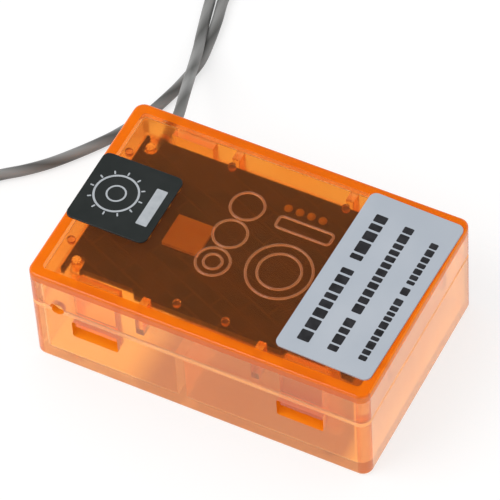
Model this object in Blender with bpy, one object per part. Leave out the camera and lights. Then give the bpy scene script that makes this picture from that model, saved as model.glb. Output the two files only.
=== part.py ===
"""Radio-control receiver in a snap-fit translucent case, with its antenna lead.

Lengths are in metres, +Z is up and the origin is the middle of the case's
bottom face. The case lies with its labelled cover up and its plug well down.
The long side runs along X, and the antenna leaves the back wall along +Y.
"""

import math

import bmesh
import bpy
from mathutils import Vector

MM = 0.001

# Case, outside and walls
CASE_LENGTH = 44.0 * MM
CASE_WIDTH = 28.6 * MM
CASE_HEIGHT = 15.3 * MM
COVER_DEPTH = 5.4 * MM
WALL = 1.4 * MM
ROOF = 1.1 * MM
FLOOR = 1.2 * MM
CORNER_RADIUS = 1.3 * MM
INNER_CORNER = 0.6 * MM
EDGE_ROUND = 0.4 * MM
CLEARANCE = 0.3 * MM
EMBED = 0.25 * MM

# Tongue and rebate along the seam
TONGUE = 0.45 * MM
TONGUE_DROP = 0.6 * MM

# Snap legs of the cover and their windows in the base
WINDOW_INSET = 8.6 * MM
WINDOW_WIDTH = 6.0 * MM
WINDOW_HEIGHT = 2.7 * MM
WINDOW_BELOW_SEAM = 1.2 * MM
LEG_THICKNESS = 1.0 * MM
LEG_OVERRUN = 0.3 * MM
BARB_RECESS = 0.4 * MM
BARB_LAND = 1.0 * MM

# Ribs and press pins inside the cover
RIB_THICKNESS = 1.0 * MM
RIB_SPACING = 15.0 * MM
END_RIB_SPACING = 14.6 * MM
RIB_RISE = 0.5 * MM
PRESS_PIN_RADIUS = 0.5 * MM
PRESS_PIN_INSET = 0.6 * MM
END_STUB_INSET = 0.9 * MM
FRONT_PIN_SPACING = 6.3 * MM
FRONT_PINS_SHIFT = -1.0 * MM

# Partition and board posts of the base
PARTITION_INSET = 19.5 * MM
PARTITION = 1.2 * MM
POST_RADIUS = 1.0 * MM
POST_PIN_RADIUS = 0.65 * MM
POST_PIN_RISE = 0.4 * MM
LEFT_POST_INSET = 4.1 * MM
RIGHT_POST_INSET = 6.2 * MM
POST_EDGE_INSET = 1.6 * MM

# Circuit board
BOARD_THICKNESS = 1.0 * MM
BOARD_BELOW_ROOF = 0.9 * MM
BOARD_SIDE_ROOM = 1.9 * MM
BOARD_LEFT_ROOM = 1.4 * MM
BOARD_RIGHT_ROOM = 1.9 * MM
RELIEF_DEPTH = 0.8 * MM
RELIEF_SIDE = 0.6 * MM
SOLDER_FILM = 0.15 * MM

# Components: body sizes, and distances of their centres from the board's edges
CHIP_CORNER = 0.15 * MM
SHIELD_SIZE = (4.8 * MM, 4.6 * MM, 0.45 * MM)
SHIELD_FROM_LEFT = 11.6 * MM
SHIELD_FROM_FRONT = 10.2 * MM
MAIN_CHIP_SIZE = (7.0 * MM, 7.0 * MM, 1.0 * MM)
MAIN_CHIP_FROM_RIGHT = 14.2 * MM
MAIN_CHIP_FROM_BACK = 8.0 * MM
RADIO_CHIP_SIZE = (5.0 * MM, 5.0 * MM, 0.9 * MM)
RADIO_CHIP_FROM_RIGHT = 6.1 * MM
RADIO_CHIP_FROM_BACK = 5.5 * MM
CRYSTAL_SIZE = (3.2 * MM, 2.5 * MM, 0.8 * MM)
CRYSTAL_FROM_RADIO_CHIP = 4.6 * MM
REGULATOR_SIZE = (6.5 * MM, 3.5 * MM, 1.6 * MM)
REGULATOR_FROM_RIGHT = 16.1 * MM
REGULATOR_FROM_FRONT = 3.6 * MM
LIGHT_SIZE = (1.6 * MM, 0.8 * MM, 0.6 * MM)
LIGHT_FROM_RIGHT = 2.1 * MM
LIGHT_FROM_FRONT = 3.8 * MM
TANTALUM_COUNT = 2
TANTALUM_SIZE = (3.5 * MM, 2.8 * MM, 1.9 * MM)
TANTALUM_FROM_RIGHT = 10.3 * MM
TANTALUM_FROM_FRONT = 2.6 * MM
TANTALUM_PITCH = 4.5 * MM
CHIP_PART_COLUMNS = 3
CHIP_PART_ROWS = 2
CHIP_PART_SIZE = (1.6 * MM, 0.8 * MM, 0.5 * MM)
CHIP_PART_PITCH = (2.6 * MM, 2.0 * MM)
CHIP_PARTS_FROM_RIGHT = 17.2 * MM
CHIP_PARTS_FROM_BACK = 1.2 * MM
POINT_COUNT = 4
POINT_RADIUS = 0.55 * MM
POINT_RISE = 0.44 * MM
POINT_PITCH = 1.5 * MM
POINTS_FROM_RIGHT = 17.5 * MM
POINTS_FROM_BACK = 3.1 * MM
JOINT_RADIUS = 0.9 * MM
JOINT_HEIGHT = 1.0 * MM

# Pin header and plug well
PORTS = 4
HEADER_SHIFT = 1.2 * MM
ROWS = 3
PITCH = 2.54 * MM
PIN_SIDE = 0.64 * MM
PIN_REACH = 5.9 * MM
PIN_TAIL = 0.6 * MM
PIN_POINT = 0.2 * MM
PIN_FIT = 0.2 * MM
BLOCK_HEIGHT = 2.5 * MM
HEADER_INSET = 6.9 * MM
WELL_SIDE_ROOM = 0.5 * MM
WELL_END_ROOM = 0.65 * MM
KEY_WIDTH = 0.9 * MM
KEY_DEPTH = 0.6 * MM
KEY_HEIGHT = 7.0 * MM

# Antenna
COAX_DIAMETER = 1.4 * MM
TIP_DIAMETER = 0.9 * MM
BORE_RADIUS = 0.9 * MM
BORE_INSET = 3.8 * MM
BORE_ABOVE_SEAM = 0.3 * MM
COIL_RADIUS = 7.7 * MM
COIL_TURNS_HIGH = 2
COIL_SECTION_ROUND = 0.98
COIL_CENTRE = (-29.9 * MM, 57.9 * MM)
TAIL_RUN = 1.6 * MM

# Labels
LABEL_FILM = 0.1 * MM
LABEL_THICKNESS = 0.2 * MM
LONG_LABEL_SIZE = (12.2 * MM, 24.9 * MM)
LONG_LABEL_INSET = 6.6 * MM
LONG_LABEL_SHIFT = 0.7 * MM
LONG_LABEL_TURN = -1.5
SQUARE_LABEL_SIZE = (10.6 * MM, 10.6 * MM)
SQUARE_LABEL_INSET = 5.5 * MM
SQUARE_LABEL_SHIFT = 0.25 * MM
LABEL_CORNER = 0.9 * MM

# Raised tool marks on the cover: a column of rings, a dial and a blank frame
MARK_WIDTH = 0.36 * MM
MARK_HEIGHT = 0.18 * MM
RING_COUNT = 3
RING_RADIUS = 2.05 * MM
RING_CORE_RADIUS = 1.1 * MM
RING_PITCH = 4.5 * MM
RINGS_FROM_LEFT = 19.2 * MM
RINGS_SHIFT = 0.7 * MM
DIAL_RADII = (3.95 * MM, 2.6 * MM)
DIAL_FROM_RIGHT = 17.1 * MM
DIAL_SHIFT = -1.9 * MM
FRAME_SIZE = (7.4 * MM, 2.1 * MM)
FRAME_SHIFT = 4.75 * MM

# Facets of round corners, rings and coils
ARC_STEPS = 5
MARK_STEPS = 28
COIL_STEPS = 32


def finish(name, colour, roughness, metallic=0.0, transmission=0.0, alpha=1.0):
    """A Principled material with one colour."""
    material = bpy.data.materials.new(name)
    material.use_nodes = True
    shader = material.node_tree.nodes["Principled BSDF"]
    shader.inputs["Base Color"].default_value = (*colour, 1.0)
    shader.inputs["Roughness"].default_value = roughness
    shader.inputs["Metallic"].default_value = metallic
    shader.inputs["Transmission Weight"].default_value = transmission
    shader.inputs["Alpha"].default_value = alpha
    return material


def add(name, mesh, material, location=(0.0, 0.0, 0.0), turn=0.0):
    """Put a mesh in the scene as one named piece."""
    mesh.shade_smooth()
    mesh.set_sharp_from_angle(angle=math.radians(35.0))
    piece = bpy.data.objects.new(name, mesh)
    bpy.context.collection.objects.link(piece)
    piece.location = location
    piece.rotation_euler = (0.0, 0.0, math.radians(turn))
    piece.data.materials.clear()
    piece.data.materials.append(material)
    return piece


def loft(loops, closed=False):
    """A closed body through loops of equally many points.

    The first and last loops are capped, or joined to each other if closed.
    """
    shape = bmesh.new()
    rings = [[shape.verts.new(point) for point in loop] for loop in loops]
    pairs = list(zip(rings, rings[1:]))
    if closed:
        pairs.append((rings[-1], rings[0]))
    count = len(rings[0])
    for lower, upper in pairs:
        for k in range(count):
            after = (k + 1) % count
            shape.faces.new((lower[k], lower[after], upper[after], upper[k]))
    if not closed:
        shape.faces.new(list(reversed(rings[0])))
        shape.faces.new(rings[-1])
    bmesh.ops.recalc_face_normals(shape, faces=shape.faces)
    mesh = bpy.data.meshes.new("shape")
    shape.to_mesh(mesh)
    shape.free()
    return mesh


def joined(meshes):
    """One mesh that holds several separate bodies."""
    shape = bmesh.new()
    for mesh in meshes:
        shape.from_mesh(mesh)
    mesh = bpy.data.meshes.new("group")
    shape.to_mesh(mesh)
    shape.free()
    return mesh


def combine(mesh, operation, *tools):
    """Cut tools from a mesh, or unite them with it, one after another."""
    for tool in tools:
        body = bpy.data.objects.new("body", mesh)
        cutter = bpy.data.objects.new("cutter", tool)
        bpy.context.collection.objects.link(body)
        bpy.context.collection.objects.link(cutter)
        change = body.modifiers.new("change", "BOOLEAN")
        change.operation = operation
        change.solver = "EXACT"
        change.object = cutter
        bpy.context.view_layer.update()
        view = bpy.context.evaluated_depsgraph_get()
        mesh = bpy.data.meshes.new_from_object(body.evaluated_get(view))
        bpy.data.objects.remove(body)
        bpy.data.objects.remove(cutter)
    return mesh


def rounded_outline(half_x, half_y, radius, steps=ARC_STEPS):
    """Points of a rectangle with round corners, anticlockwise about the origin."""
    points = []
    corners = [(1, 1, 0.0), (-1, 1, 90.0), (-1, -1, 180.0), (1, -1, 270.0)]
    for side_x, side_y, start in corners:
        for step in range(steps + 1):
            angle = math.radians(start + 90.0 * step / steps)
            points.append((
                side_x * (half_x - radius) + radius * math.cos(angle),
                side_y * (half_y - radius) + radius * math.sin(angle),
            ))
    return points


def rounded_box(size, low, high, corner, low_round=0.0, high_round=0.0, centre=(0.0, 0.0)):
    """An upright box with round corners, and quarter-round lower or upper edges."""
    levels = edge_levels(low, low_round, 1)
    levels += reversed(edge_levels(high, high_round, -1))
    loops = []
    for height, inset in levels:
        outline = rounded_outline(
            size[0] / 2 - inset, size[1] / 2 - inset, max(corner - inset, 0.05 * MM)
        )
        loops.append([Vector((centre[0] + x, centre[1] + y, height)) for x, y in outline])
    return loft(loops)


def edge_levels(height, radius, direction, steps=4):
    """Heights and insets of a quarter-round edge, from the flat face inward."""
    if radius == 0.0:
        return [(height, 0.0)]
    levels = []
    for step in range(steps + 1):
        angle = math.radians(90.0 * step / steps)
        rise = direction * radius * (1.0 - math.cos(angle))
        levels.append((height + rise, radius * (1.0 - math.sin(angle))))
    return levels


def block(low, high):
    """A box between two corners."""
    flat = [(low[0], low[1]), (high[0], low[1]), (high[0], high[1]), (low[0], high[1])]
    return loft([[Vector((x, y, z)) for x, y in flat] for z in (low[2], high[2])])


def prism_along_x(profile, low_x, high_x):
    """A profile of (y, z) points drawn out along X."""
    return loft([[Vector((x, y, z)) for y, z in profile] for x in (low_x, high_x)])


def prism_along_z(outline, low, high):
    """An outline of (x, y) points drawn out along Z."""
    return loft([[Vector((x, y, z)) for x, y in outline] for z in (low, high)])


def rod(centre, low, high, radius, sides=16):
    """An upright cylinder."""
    angles = [math.tau * k / sides for k in range(sides)]
    outline = [
        (centre[0] + radius * math.cos(a), centre[1] + radius * math.sin(a)) for a in angles
    ]
    return prism_along_z(outline, low, high)


def rod_along_y(x, z, low_y, high_y, radius, sides=20):
    """A cylinder that lies along Y."""
    angles = [math.tau * k / sides for k in range(sides)]
    return loft([
        [Vector((x + radius * math.cos(a), y, z + radius * math.sin(a))) for a in angles]
        for y in (low_y, high_y)
    ])


def turned_ring(section, centre=(0.0, 0.0), steps=36):
    """A closed section of (radius, height) points turned once about the vertical."""
    loops = []
    for step in range(steps):
        angle = math.tau * step / steps
        loops.append([
            Vector((centre[0] + r * math.cos(angle), centre[1] + r * math.sin(angle), z))
            for r, z in section
        ])
    return loft(loops, closed=True)


def smooth_route(points, spacing):
    """Evenly spaced points on a Catmull-Rom curve through the route's points."""
    route = [Vector(p) * MM for p in points]
    route = [route[0] * 2 - route[1]] + route + [route[-1] * 2 - route[-2]]
    fine = []
    for before, start, end, after in zip(route, route[1:], route[2:], route[3:]):
        for step in range(24):
            t = step / 24
            fine.append(0.5 * (
                2 * start + (end - before) * t
                + (2 * before - 5 * start + 4 * end - after) * t ** 2
                + (3 * start - before - 3 * end + after) * t ** 3
            ))
    fine.append(route[-2])
    travel = [0.0]
    for a, b in zip(fine, fine[1:]):
        travel.append(travel[-1] + (b - a).length)
    count = max(2, round(travel[-1] / spacing))
    spaced = []
    k = 0
    for step in range(count + 1):
        target = travel[-1] * step / count
        while k < len(travel) - 2 and travel[k + 1] < target:
            k += 1
        share = (target - travel[k]) / (travel[k + 1] - travel[k])
        spaced.append(fine[k].lerp(fine[k + 1], share))
    return spaced


def tube(name, points, diameter, material, spacing=2.4):
    """A round tube along a smooth route, with a point every few diameters."""
    curve = bpy.data.curves.new(name, "CURVE")
    curve.dimensions = "3D"
    curve.bevel_depth = diameter / 2
    curve.bevel_resolution = 2
    curve.use_fill_caps = True
    spaced = smooth_route(points, spacing * diameter)
    spline = curve.splines.new("POLY")
    spline.points.add(len(spaced) - 1)
    for point, place in zip(spline.points, spaced):
        point.co = (*place, 1.0)
    curve.materials.append(material)
    piece = bpy.data.objects.new(name, curve)
    bpy.context.collection.objects.link(piece)
    return piece


# Places that several pieces share
HALF_LENGTH = CASE_LENGTH / 2
HALF_WIDTH = CASE_WIDTH / 2
SEAM_HEIGHT = CASE_HEIGHT - COVER_DEPTH
WINDOW_XS = (-HALF_LENGTH + WINDOW_INSET, HALF_LENGTH - WINDOW_INSET)
PARTITION_X = -HALF_LENGTH + PARTITION_INSET
BASE_TOP = SEAM_HEIGHT - CLEARANCE / 2
COVER_BOTTOM = SEAM_HEIGHT + CLEARANCE / 2
CEILING = CASE_HEIGHT - ROOF
TONGUE_BOTTOM = COVER_BOTTOM - TONGUE_DROP
REBATE_FLOOR = TONGUE_BOTTOM - CLEARANCE
WINDOW_TOP = SEAM_HEIGHT - WINDOW_BELOW_SEAM
WINDOW_BOTTOM = WINDOW_TOP - WINDOW_HEIGHT
LEG_WIDTH = WINDOW_WIDTH - 2 * CLEARANCE
LEG_FACE = HALF_WIDTH - WALL - CLEARANCE
LEG_BACK = LEG_FACE - LEG_THICKNESS
BOARD_TOP = CEILING - BOARD_BELOW_ROOF
BOARD_BOTTOM = BOARD_TOP - BOARD_THICKNESS
BOARD_LEFT = -HALF_LENGTH + WALL + BOARD_LEFT_ROOM
BOARD_RIGHT = HALF_LENGTH - WALL - BOARD_RIGHT_ROOM
BOARD_HALF = HALF_WIDTH - WALL - BOARD_SIDE_ROOM
POST_XS = (-HALF_LENGTH + LEFT_POST_INSET, HALF_LENGTH - RIGHT_POST_INSET)
POST_Y = BOARD_HALF - POST_EDGE_INSET
BLOCK_TOP = BOARD_BOTTOM - SOLDER_FILM
BLOCK_BOTTOM = BLOCK_TOP - BLOCK_HEIGHT
HEADER_X = -HALF_LENGTH + HEADER_INSET
WELL_HALF_X = ROWS * PITCH / 2 + WELL_SIDE_ROOM
WELL_HALF_Y = PORTS * PITCH / 2 + WELL_END_ROOM
BORE_X = -HALF_LENGTH + BORE_INSET
BORE_Z = SEAM_HEIGHT + BORE_ABOVE_SEAM


def header_places():
    """Port number, row number and (x, y) of each contact in the header."""
    places = []
    for port in range(PORTS):
        for row in range(ROWS):
            x = HEADER_X + (row - (ROWS - 1) / 2) * PITCH
            y = HEADER_SHIFT + (port - (PORTS - 1) / 2) * PITCH
            places.append((port + 1, row, (x, y)))
    return places


def antenna_bores():
    """The two cutters for the antenna's holes, through the back and front walls."""
    inner = HALF_WIDTH - WALL - TONGUE
    outer = HALF_WIDTH + EDGE_ROUND
    return [
        rod_along_y(BORE_X, BORE_Z, inner, outer, BORE_RADIUS),
        rod_along_y(BORE_X, BORE_Z, -outer, -inner, BORE_RADIUS),
    ]


def case_base(plastic):
    """The lower shell, with its plug well, posts, partition and snap windows."""
    outside = (CASE_LENGTH, CASE_WIDTH)
    inside = (CASE_LENGTH - 2 * WALL, CASE_WIDTH - 2 * WALL)
    lip = WALL - TONGUE - CLEARANCE
    rebate = (CASE_LENGTH - 2 * lip, CASE_WIDTH - 2 * lip)
    above = CASE_HEIGHT
    shell = rounded_box(outside, 0.0, BASE_TOP, CORNER_RADIUS, low_round=EDGE_ROUND)
    shell = combine(
        shell, "DIFFERENCE",
        rounded_box(inside, FLOOR, above, INNER_CORNER),
        rounded_box(rebate, REBATE_FLOOR, above, INNER_CORNER),
    )

    reach = HALF_WIDTH - WALL + EMBED
    partition = block(
        (PARTITION_X - PARTITION / 2, -reach, FLOOR - EMBED),
        (PARTITION_X + PARTITION / 2, reach, REBATE_FLOOR),
    )
    shroud_top = BLOCK_BOTTOM - CLEARANCE
    shroud_half_x = WELL_HALF_X + WALL
    shroud_half_y = WELL_HALF_Y + WALL
    shroud = block(
        (HEADER_X - shroud_half_x, HEADER_SHIFT - shroud_half_y, FLOOR - EMBED),
        (HEADER_X + shroud_half_x, HEADER_SHIFT + shroud_half_y, shroud_top),
    )
    posts = []
    for x in POST_XS:
        for y in (-POST_Y, POST_Y):
            posts.append(rod((x, y), FLOOR - EMBED, BOARD_BOTTOM - CLEARANCE, POST_RADIUS))
            posts.append(rod(
                (x, y), BOARD_BOTTOM - 2 * CLEARANCE, BOARD_TOP + POST_PIN_RISE, POST_PIN_RADIUS
            ))
    shell = combine(shell, "UNION", partition, shroud, *posts)

    well = block(
        (HEADER_X - WELL_HALF_X, HEADER_SHIFT - WELL_HALF_Y, -FLOOR),
        (HEADER_X + WELL_HALF_X, HEADER_SHIFT + WELL_HALF_Y, above),
    )
    keys = []
    for port, row, (x, y) in header_places():
        if row == ROWS - 1:
            edge = HEADER_X + WELL_HALF_X
            keys.append(block(
                (edge - KEY_DEPTH, y - KEY_WIDTH / 2, -FLOOR),
                (edge + KEY_DEPTH, y + KEY_WIDTH / 2, KEY_HEIGHT),
            ))
    windows = []
    for x in WINDOW_XS:
        windows.append(block(
            (x - WINDOW_WIDTH / 2, -CASE_WIDTH, WINDOW_BOTTOM),
            (x + WINDOW_WIDTH / 2, -HALF_WIDTH + WALL + CLEARANCE, WINDOW_TOP),
        ))
        windows.append(block(
            (x - WINDOW_WIDTH / 2, HALF_WIDTH - WALL - CLEARANCE, WINDOW_BOTTOM),
            (x + WINDOW_WIDTH / 2, CASE_WIDTH, WINDOW_TOP),
        ))
    shell = combine(
        shell, "DIFFERENCE", well, joined(keys), joined(windows), *antenna_bores()
    )
    return add("case_base", shell, plastic)


def leg_profile(side):
    """The (y, z) outline of a snap leg and its barb, on the front or back wall."""
    wall = HALF_WIDTH - WALL + EMBED
    barb = HALF_WIDTH - BARB_RECESS
    barb_top = WINDOW_TOP - CLEARANCE
    barb_low = WINDOW_BOTTOM + CLEARANCE
    tip = WINDOW_BOTTOM - LEG_OVERRUN
    root = CEILING + EMBED
    return [
        (side * y, z) for y, z in (
            (LEG_BACK, root),
            (LEG_BACK, tip),
            (LEG_FACE - CLEARANCE, tip),
            (LEG_FACE, barb_low),
            (barb, barb_top - BARB_LAND),
            (barb, barb_top),
            (LEG_FACE, barb_top),
            (LEG_FACE, COVER_BOTTOM),
            (wall, COVER_BOTTOM),
            (wall, root),
        )
    ]


def cover_ribs():
    """The short ribs from the cover's walls to just short of the board's edge."""
    ribs = []
    low = COVER_BOTTOM + RIB_RISE
    high = CEILING + EMBED
    inner = BOARD_HALF + CLEARANCE
    outer = HALF_WIDTH - WALL + EMBED
    for x in (-RIB_SPACING / 2, RIB_SPACING / 2):
        for side in (-1, 1):
            ends = sorted((side * inner, side * outer))
            ribs.append(block(
                (x - RIB_THICKNESS / 2, ends[0], low), (x + RIB_THICKNESS / 2, ends[1], high)
            ))
    for y in (-END_RIB_SPACING / 2, END_RIB_SPACING / 2):
        ribs.append(block(
            (BOARD_RIGHT + CLEARANCE, y - RIB_THICKNESS / 2, low),
            (HALF_LENGTH - WALL + EMBED, y + RIB_THICKNESS / 2, high),
        ))
    return ribs


def press_pins():
    """The round pins under the roof that hold the board down, and two end stubs."""
    edge = BOARD_HALF - PRESS_PIN_INSET
    end = -HALF_LENGTH + WALL + END_STUB_INSET
    places = [
        (end, -END_RIB_SPACING / 2),
        (end, END_RIB_SPACING / 2),
        (FRONT_PINS_SHIFT - FRONT_PIN_SPACING / 2, -edge),
        (FRONT_PINS_SHIFT + FRONT_PIN_SPACING / 2, -edge),
        (-RIB_SPACING / 2, edge),
        (RIB_SPACING / 2, edge),
    ]
    low = BOARD_TOP + CLEARANCE
    return [rod(place, low, CEILING + EMBED, PRESS_PIN_RADIUS, 12) for place in places]


def ring_mark(centre, radius):
    """One raised ring on the cover's face."""
    low = CASE_HEIGHT - EMBED
    high = CASE_HEIGHT + MARK_HEIGHT
    inner = radius - MARK_WIDTH / 2
    outer = radius + MARK_WIDTH / 2
    return turned_ring(
        [(inner, low), (outer, low), (outer, high), (inner, high)], centre, MARK_STEPS
    )


def frame_mark(centre):
    """The raised blank frame on the cover's face."""
    low = CASE_HEIGHT - EMBED
    high = CASE_HEIGHT + MARK_HEIGHT
    half_x = FRAME_SIZE[0] / 2
    half_y = FRAME_SIZE[1] / 2
    frame = block(
        (centre[0] - half_x, centre[1] - half_y, low),
        (centre[0] + half_x, centre[1] + half_y, high),
    )
    half_x -= MARK_WIDTH
    half_y -= MARK_WIDTH
    pocket = block(
        (centre[0] - half_x, centre[1] - half_y, low - EMBED),
        (centre[0] + half_x, centre[1] + half_y, high + EMBED),
    )
    return combine(frame, "DIFFERENCE", pocket)


def tool_marks():
    """Raised moulding marks: a column of rings, a dial and a blank frame."""
    column = -HALF_LENGTH + RINGS_FROM_LEFT
    marks = []
    for k in range(RING_COUNT):
        y = RINGS_SHIFT + RING_PITCH * ((RING_COUNT - 1) / 2 - k)
        marks.append(ring_mark((column, y), RING_RADIUS))
        if k == RING_COUNT - 1:
            marks.append(ring_mark((column, y), RING_CORE_RADIUS))
    dial_x = HALF_LENGTH - DIAL_FROM_RIGHT
    marks += [ring_mark((dial_x, DIAL_SHIFT), radius) for radius in DIAL_RADII]
    marks.append(frame_mark((dial_x, FRAME_SHIFT)))
    return marks


def case_cover(plastic):
    """The upper shell, with its tongue, snap legs, ribs and raised marks."""
    outside = (CASE_LENGTH, CASE_WIDTH)
    inside = (CASE_LENGTH - 2 * WALL, CASE_WIDTH - 2 * WALL)
    step = WALL - TONGUE
    tongue = (CASE_LENGTH - 2 * step, CASE_WIDTH - 2 * step)
    shell = rounded_box(
        outside, COVER_BOTTOM, CASE_HEIGHT, CORNER_RADIUS, high_round=EDGE_ROUND
    )
    shell = combine(
        shell, "UNION",
        rounded_box(tongue, TONGUE_BOTTOM, COVER_BOTTOM + EMBED, INNER_CORNER),
    )
    shell = combine(
        shell, "DIFFERENCE", rounded_box(inside, 0.0, CEILING, INNER_CORNER)
    )
    legs = []
    for x in WINDOW_XS:
        for side in (-1, 1):
            legs.append(prism_along_x(leg_profile(side), x - LEG_WIDTH / 2, x + LEG_WIDTH / 2))
    shell = combine(shell, "UNION", *legs, *cover_ribs(), *press_pins(), *tool_marks())
    shell = combine(shell, "DIFFERENCE", *antenna_bores())
    return add("case_cover", shell, plastic)


def circuit_board(laminate):
    """The board, with notches for the posts, reliefs at the front legs and pin holes."""
    board = block(
        (BOARD_LEFT, -BOARD_HALF, BOARD_BOTTOM), (BOARD_RIGHT, BOARD_HALF, BOARD_TOP)
    )
    low = BOARD_BOTTOM - CLEARANCE
    high = BOARD_TOP + CLEARANCE
    radius = POST_PIN_RADIUS + CLEARANCE
    cuts = []
    for x in POST_XS:
        for side in (-1, 1):
            cuts.append(prism_along_z(notch_outline(x, side, radius), low, high))
    for x in WINDOW_XS:
        half = LEG_WIDTH / 2 + RELIEF_SIDE
        cuts.append(prism_along_z([
            (x - half, -BOARD_HALF + RELIEF_DEPTH),
            (x - half - RELIEF_DEPTH, -BOARD_HALF - CLEARANCE),
            (x + half + RELIEF_DEPTH, -BOARD_HALF - CLEARANCE),
            (x + half, -BOARD_HALF + RELIEF_DEPTH),
        ], low, high))
    hole = PIN_SIDE / math.sqrt(2) + PIN_FIT
    holes = [rod(place, low, high, hole, 12) for port, row, place in header_places()]
    board = combine(board, "DIFFERENCE", *cuts, joined(holes))
    return add("circuit_board", board, laminate)


def notch_outline(x, side, radius):
    """A slot with a round end, open to the board's front or back edge."""
    outline = []
    for step in range(9):
        angle = math.pi * step / 8
        outline.append((x + radius * math.cos(angle), POST_Y - radius * math.sin(angle)))
    outline.append((x - radius, BOARD_HALF + CLEARANCE))
    outline.append((x + radius, BOARD_HALF + CLEARANCE))
    return [(px, side * py) for px, py in outline]


def header_block(resin):
    """The header's insulator, with a square hole for each contact."""
    half_x = ROWS * PITCH / 2
    half_y = PORTS * PITCH / 2
    body = block(
        (HEADER_X - half_x, HEADER_SHIFT - half_y, BLOCK_BOTTOM),
        (HEADER_X + half_x, HEADER_SHIFT + half_y, BLOCK_TOP),
    )
    half = PIN_SIDE / 2 + PIN_FIT
    holes = [
        block((x - half, y - half, 0.0), (x + half, y + half, CASE_HEIGHT))
        for port, row, (x, y) in header_places()
    ]
    return add("header_block", combine(body, "DIFFERENCE", joined(holes)), resin)


def header_pins(metal):
    """The square contacts, pointed at both ends."""
    low = BLOCK_BOTTOM - PIN_REACH
    high = BOARD_TOP + PIN_TAIL
    half = PIN_SIDE / 2
    levels = [
        (low, half - PIN_POINT), (low + PIN_POINT, half),
        (high - PIN_POINT, half), (high, half - PIN_POINT),
    ]
    mesh = loft([
        [Vector((-h, -h, z)), Vector((h, -h, z)), Vector((h, h, z)), Vector((-h, h, z))]
        for z, h in levels
    ])
    roles = ("signal", "power", "ground")
    for port, row, (x, y) in header_places():
        add(f"port_{port}_{roles[row % 3]}", mesh.copy(), metal, (x, y, 0.0))


def chip(name, size, place, material, side=-1):
    """A component body seated over or under the board on its solder film."""
    if side > 0:
        low = BOARD_TOP + SOLDER_FILM
        high = low + size[2]
    else:
        high = BOARD_BOTTOM - SOLDER_FILM
        low = high - size[2]
    mesh = rounded_box(size[:2], low, high, CHIP_CORNER)
    return add(name, mesh, material, (*place, 0.0))


def components(resin, metal, ceramic, tantalum, lens):
    """The parts soldered to the two faces of the board."""
    shield = (BOARD_LEFT + SHIELD_FROM_LEFT, -BOARD_HALF + SHIELD_FROM_FRONT)
    chip("shield_can", SHIELD_SIZE, shield, metal, side=1)
    main = (BOARD_RIGHT - MAIN_CHIP_FROM_RIGHT, BOARD_HALF - MAIN_CHIP_FROM_BACK)
    chip("main_chip", MAIN_CHIP_SIZE, main, resin)
    radio = (BOARD_RIGHT - RADIO_CHIP_FROM_RIGHT, BOARD_HALF - RADIO_CHIP_FROM_BACK)
    chip("radio_chip", RADIO_CHIP_SIZE, radio, resin)
    chip("crystal", CRYSTAL_SIZE, (radio[0], radio[1] - CRYSTAL_FROM_RADIO_CHIP), metal)
    regulator = (BOARD_RIGHT - REGULATOR_FROM_RIGHT, -BOARD_HALF + REGULATOR_FROM_FRONT)
    chip("regulator", REGULATOR_SIZE, regulator, resin)
    light = (BOARD_RIGHT - LIGHT_FROM_RIGHT, -BOARD_HALF + LIGHT_FROM_FRONT)
    chip("bind_light", LIGHT_SIZE, light, lens)
    for k in range(TANTALUM_COUNT):
        x = BOARD_RIGHT - TANTALUM_FROM_RIGHT + TANTALUM_PITCH * k
        y = -BOARD_HALF + TANTALUM_FROM_FRONT
        chip(f"tantalum_{k + 1}", TANTALUM_SIZE, (x, y), tantalum)
    for k in range(CHIP_PART_COLUMNS * CHIP_PART_ROWS):
        row, column = divmod(k, CHIP_PART_COLUMNS)
        x = BOARD_RIGHT - CHIP_PARTS_FROM_RIGHT + CHIP_PART_PITCH[0] * column
        y = BOARD_HALF - CHIP_PARTS_FROM_BACK - CHIP_PART_PITCH[1] * row
        chip(f"chip_part_{k + 1}", CHIP_PART_SIZE, (x, y), ceramic)


def solder_points(metal):
    """The tinned test points in a row on the board, each a low dome."""
    low = BOARD_TOP + SOLDER_FILM
    for k in range(POINT_COUNT):
        place = (
            BOARD_RIGHT - POINTS_FROM_RIGHT + POINT_PITCH * k,
            BOARD_HALF - POINTS_FROM_BACK,
        )
        loops = []
        for step in range(4):
            angle = math.radians(25.0 * step)
            radius = POINT_RADIUS * math.cos(angle)
            loops.append(circle(place, radius, low + POINT_RISE * math.sin(angle)))
        add(f"test_point_{k + 1}", loft(loops), metal)


def circle(centre, radius, height, sides=12):
    """Points of a level circle."""
    angles = [math.tau * k / sides for k in range(sides)]
    return [
        Vector((centre[0] + radius * math.cos(a), centre[1] + radius * math.sin(a), height))
        for a in angles
    ]


def label(name, size, centre, turn, material):
    """A thin label on its adhesive film."""
    low = CASE_HEIGHT + LABEL_FILM
    mesh = rounded_box(size, low, low + LABEL_THICKNESS, LABEL_CORNER)
    return add(name, mesh, material, (*centre, 0.0), turn)


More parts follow.
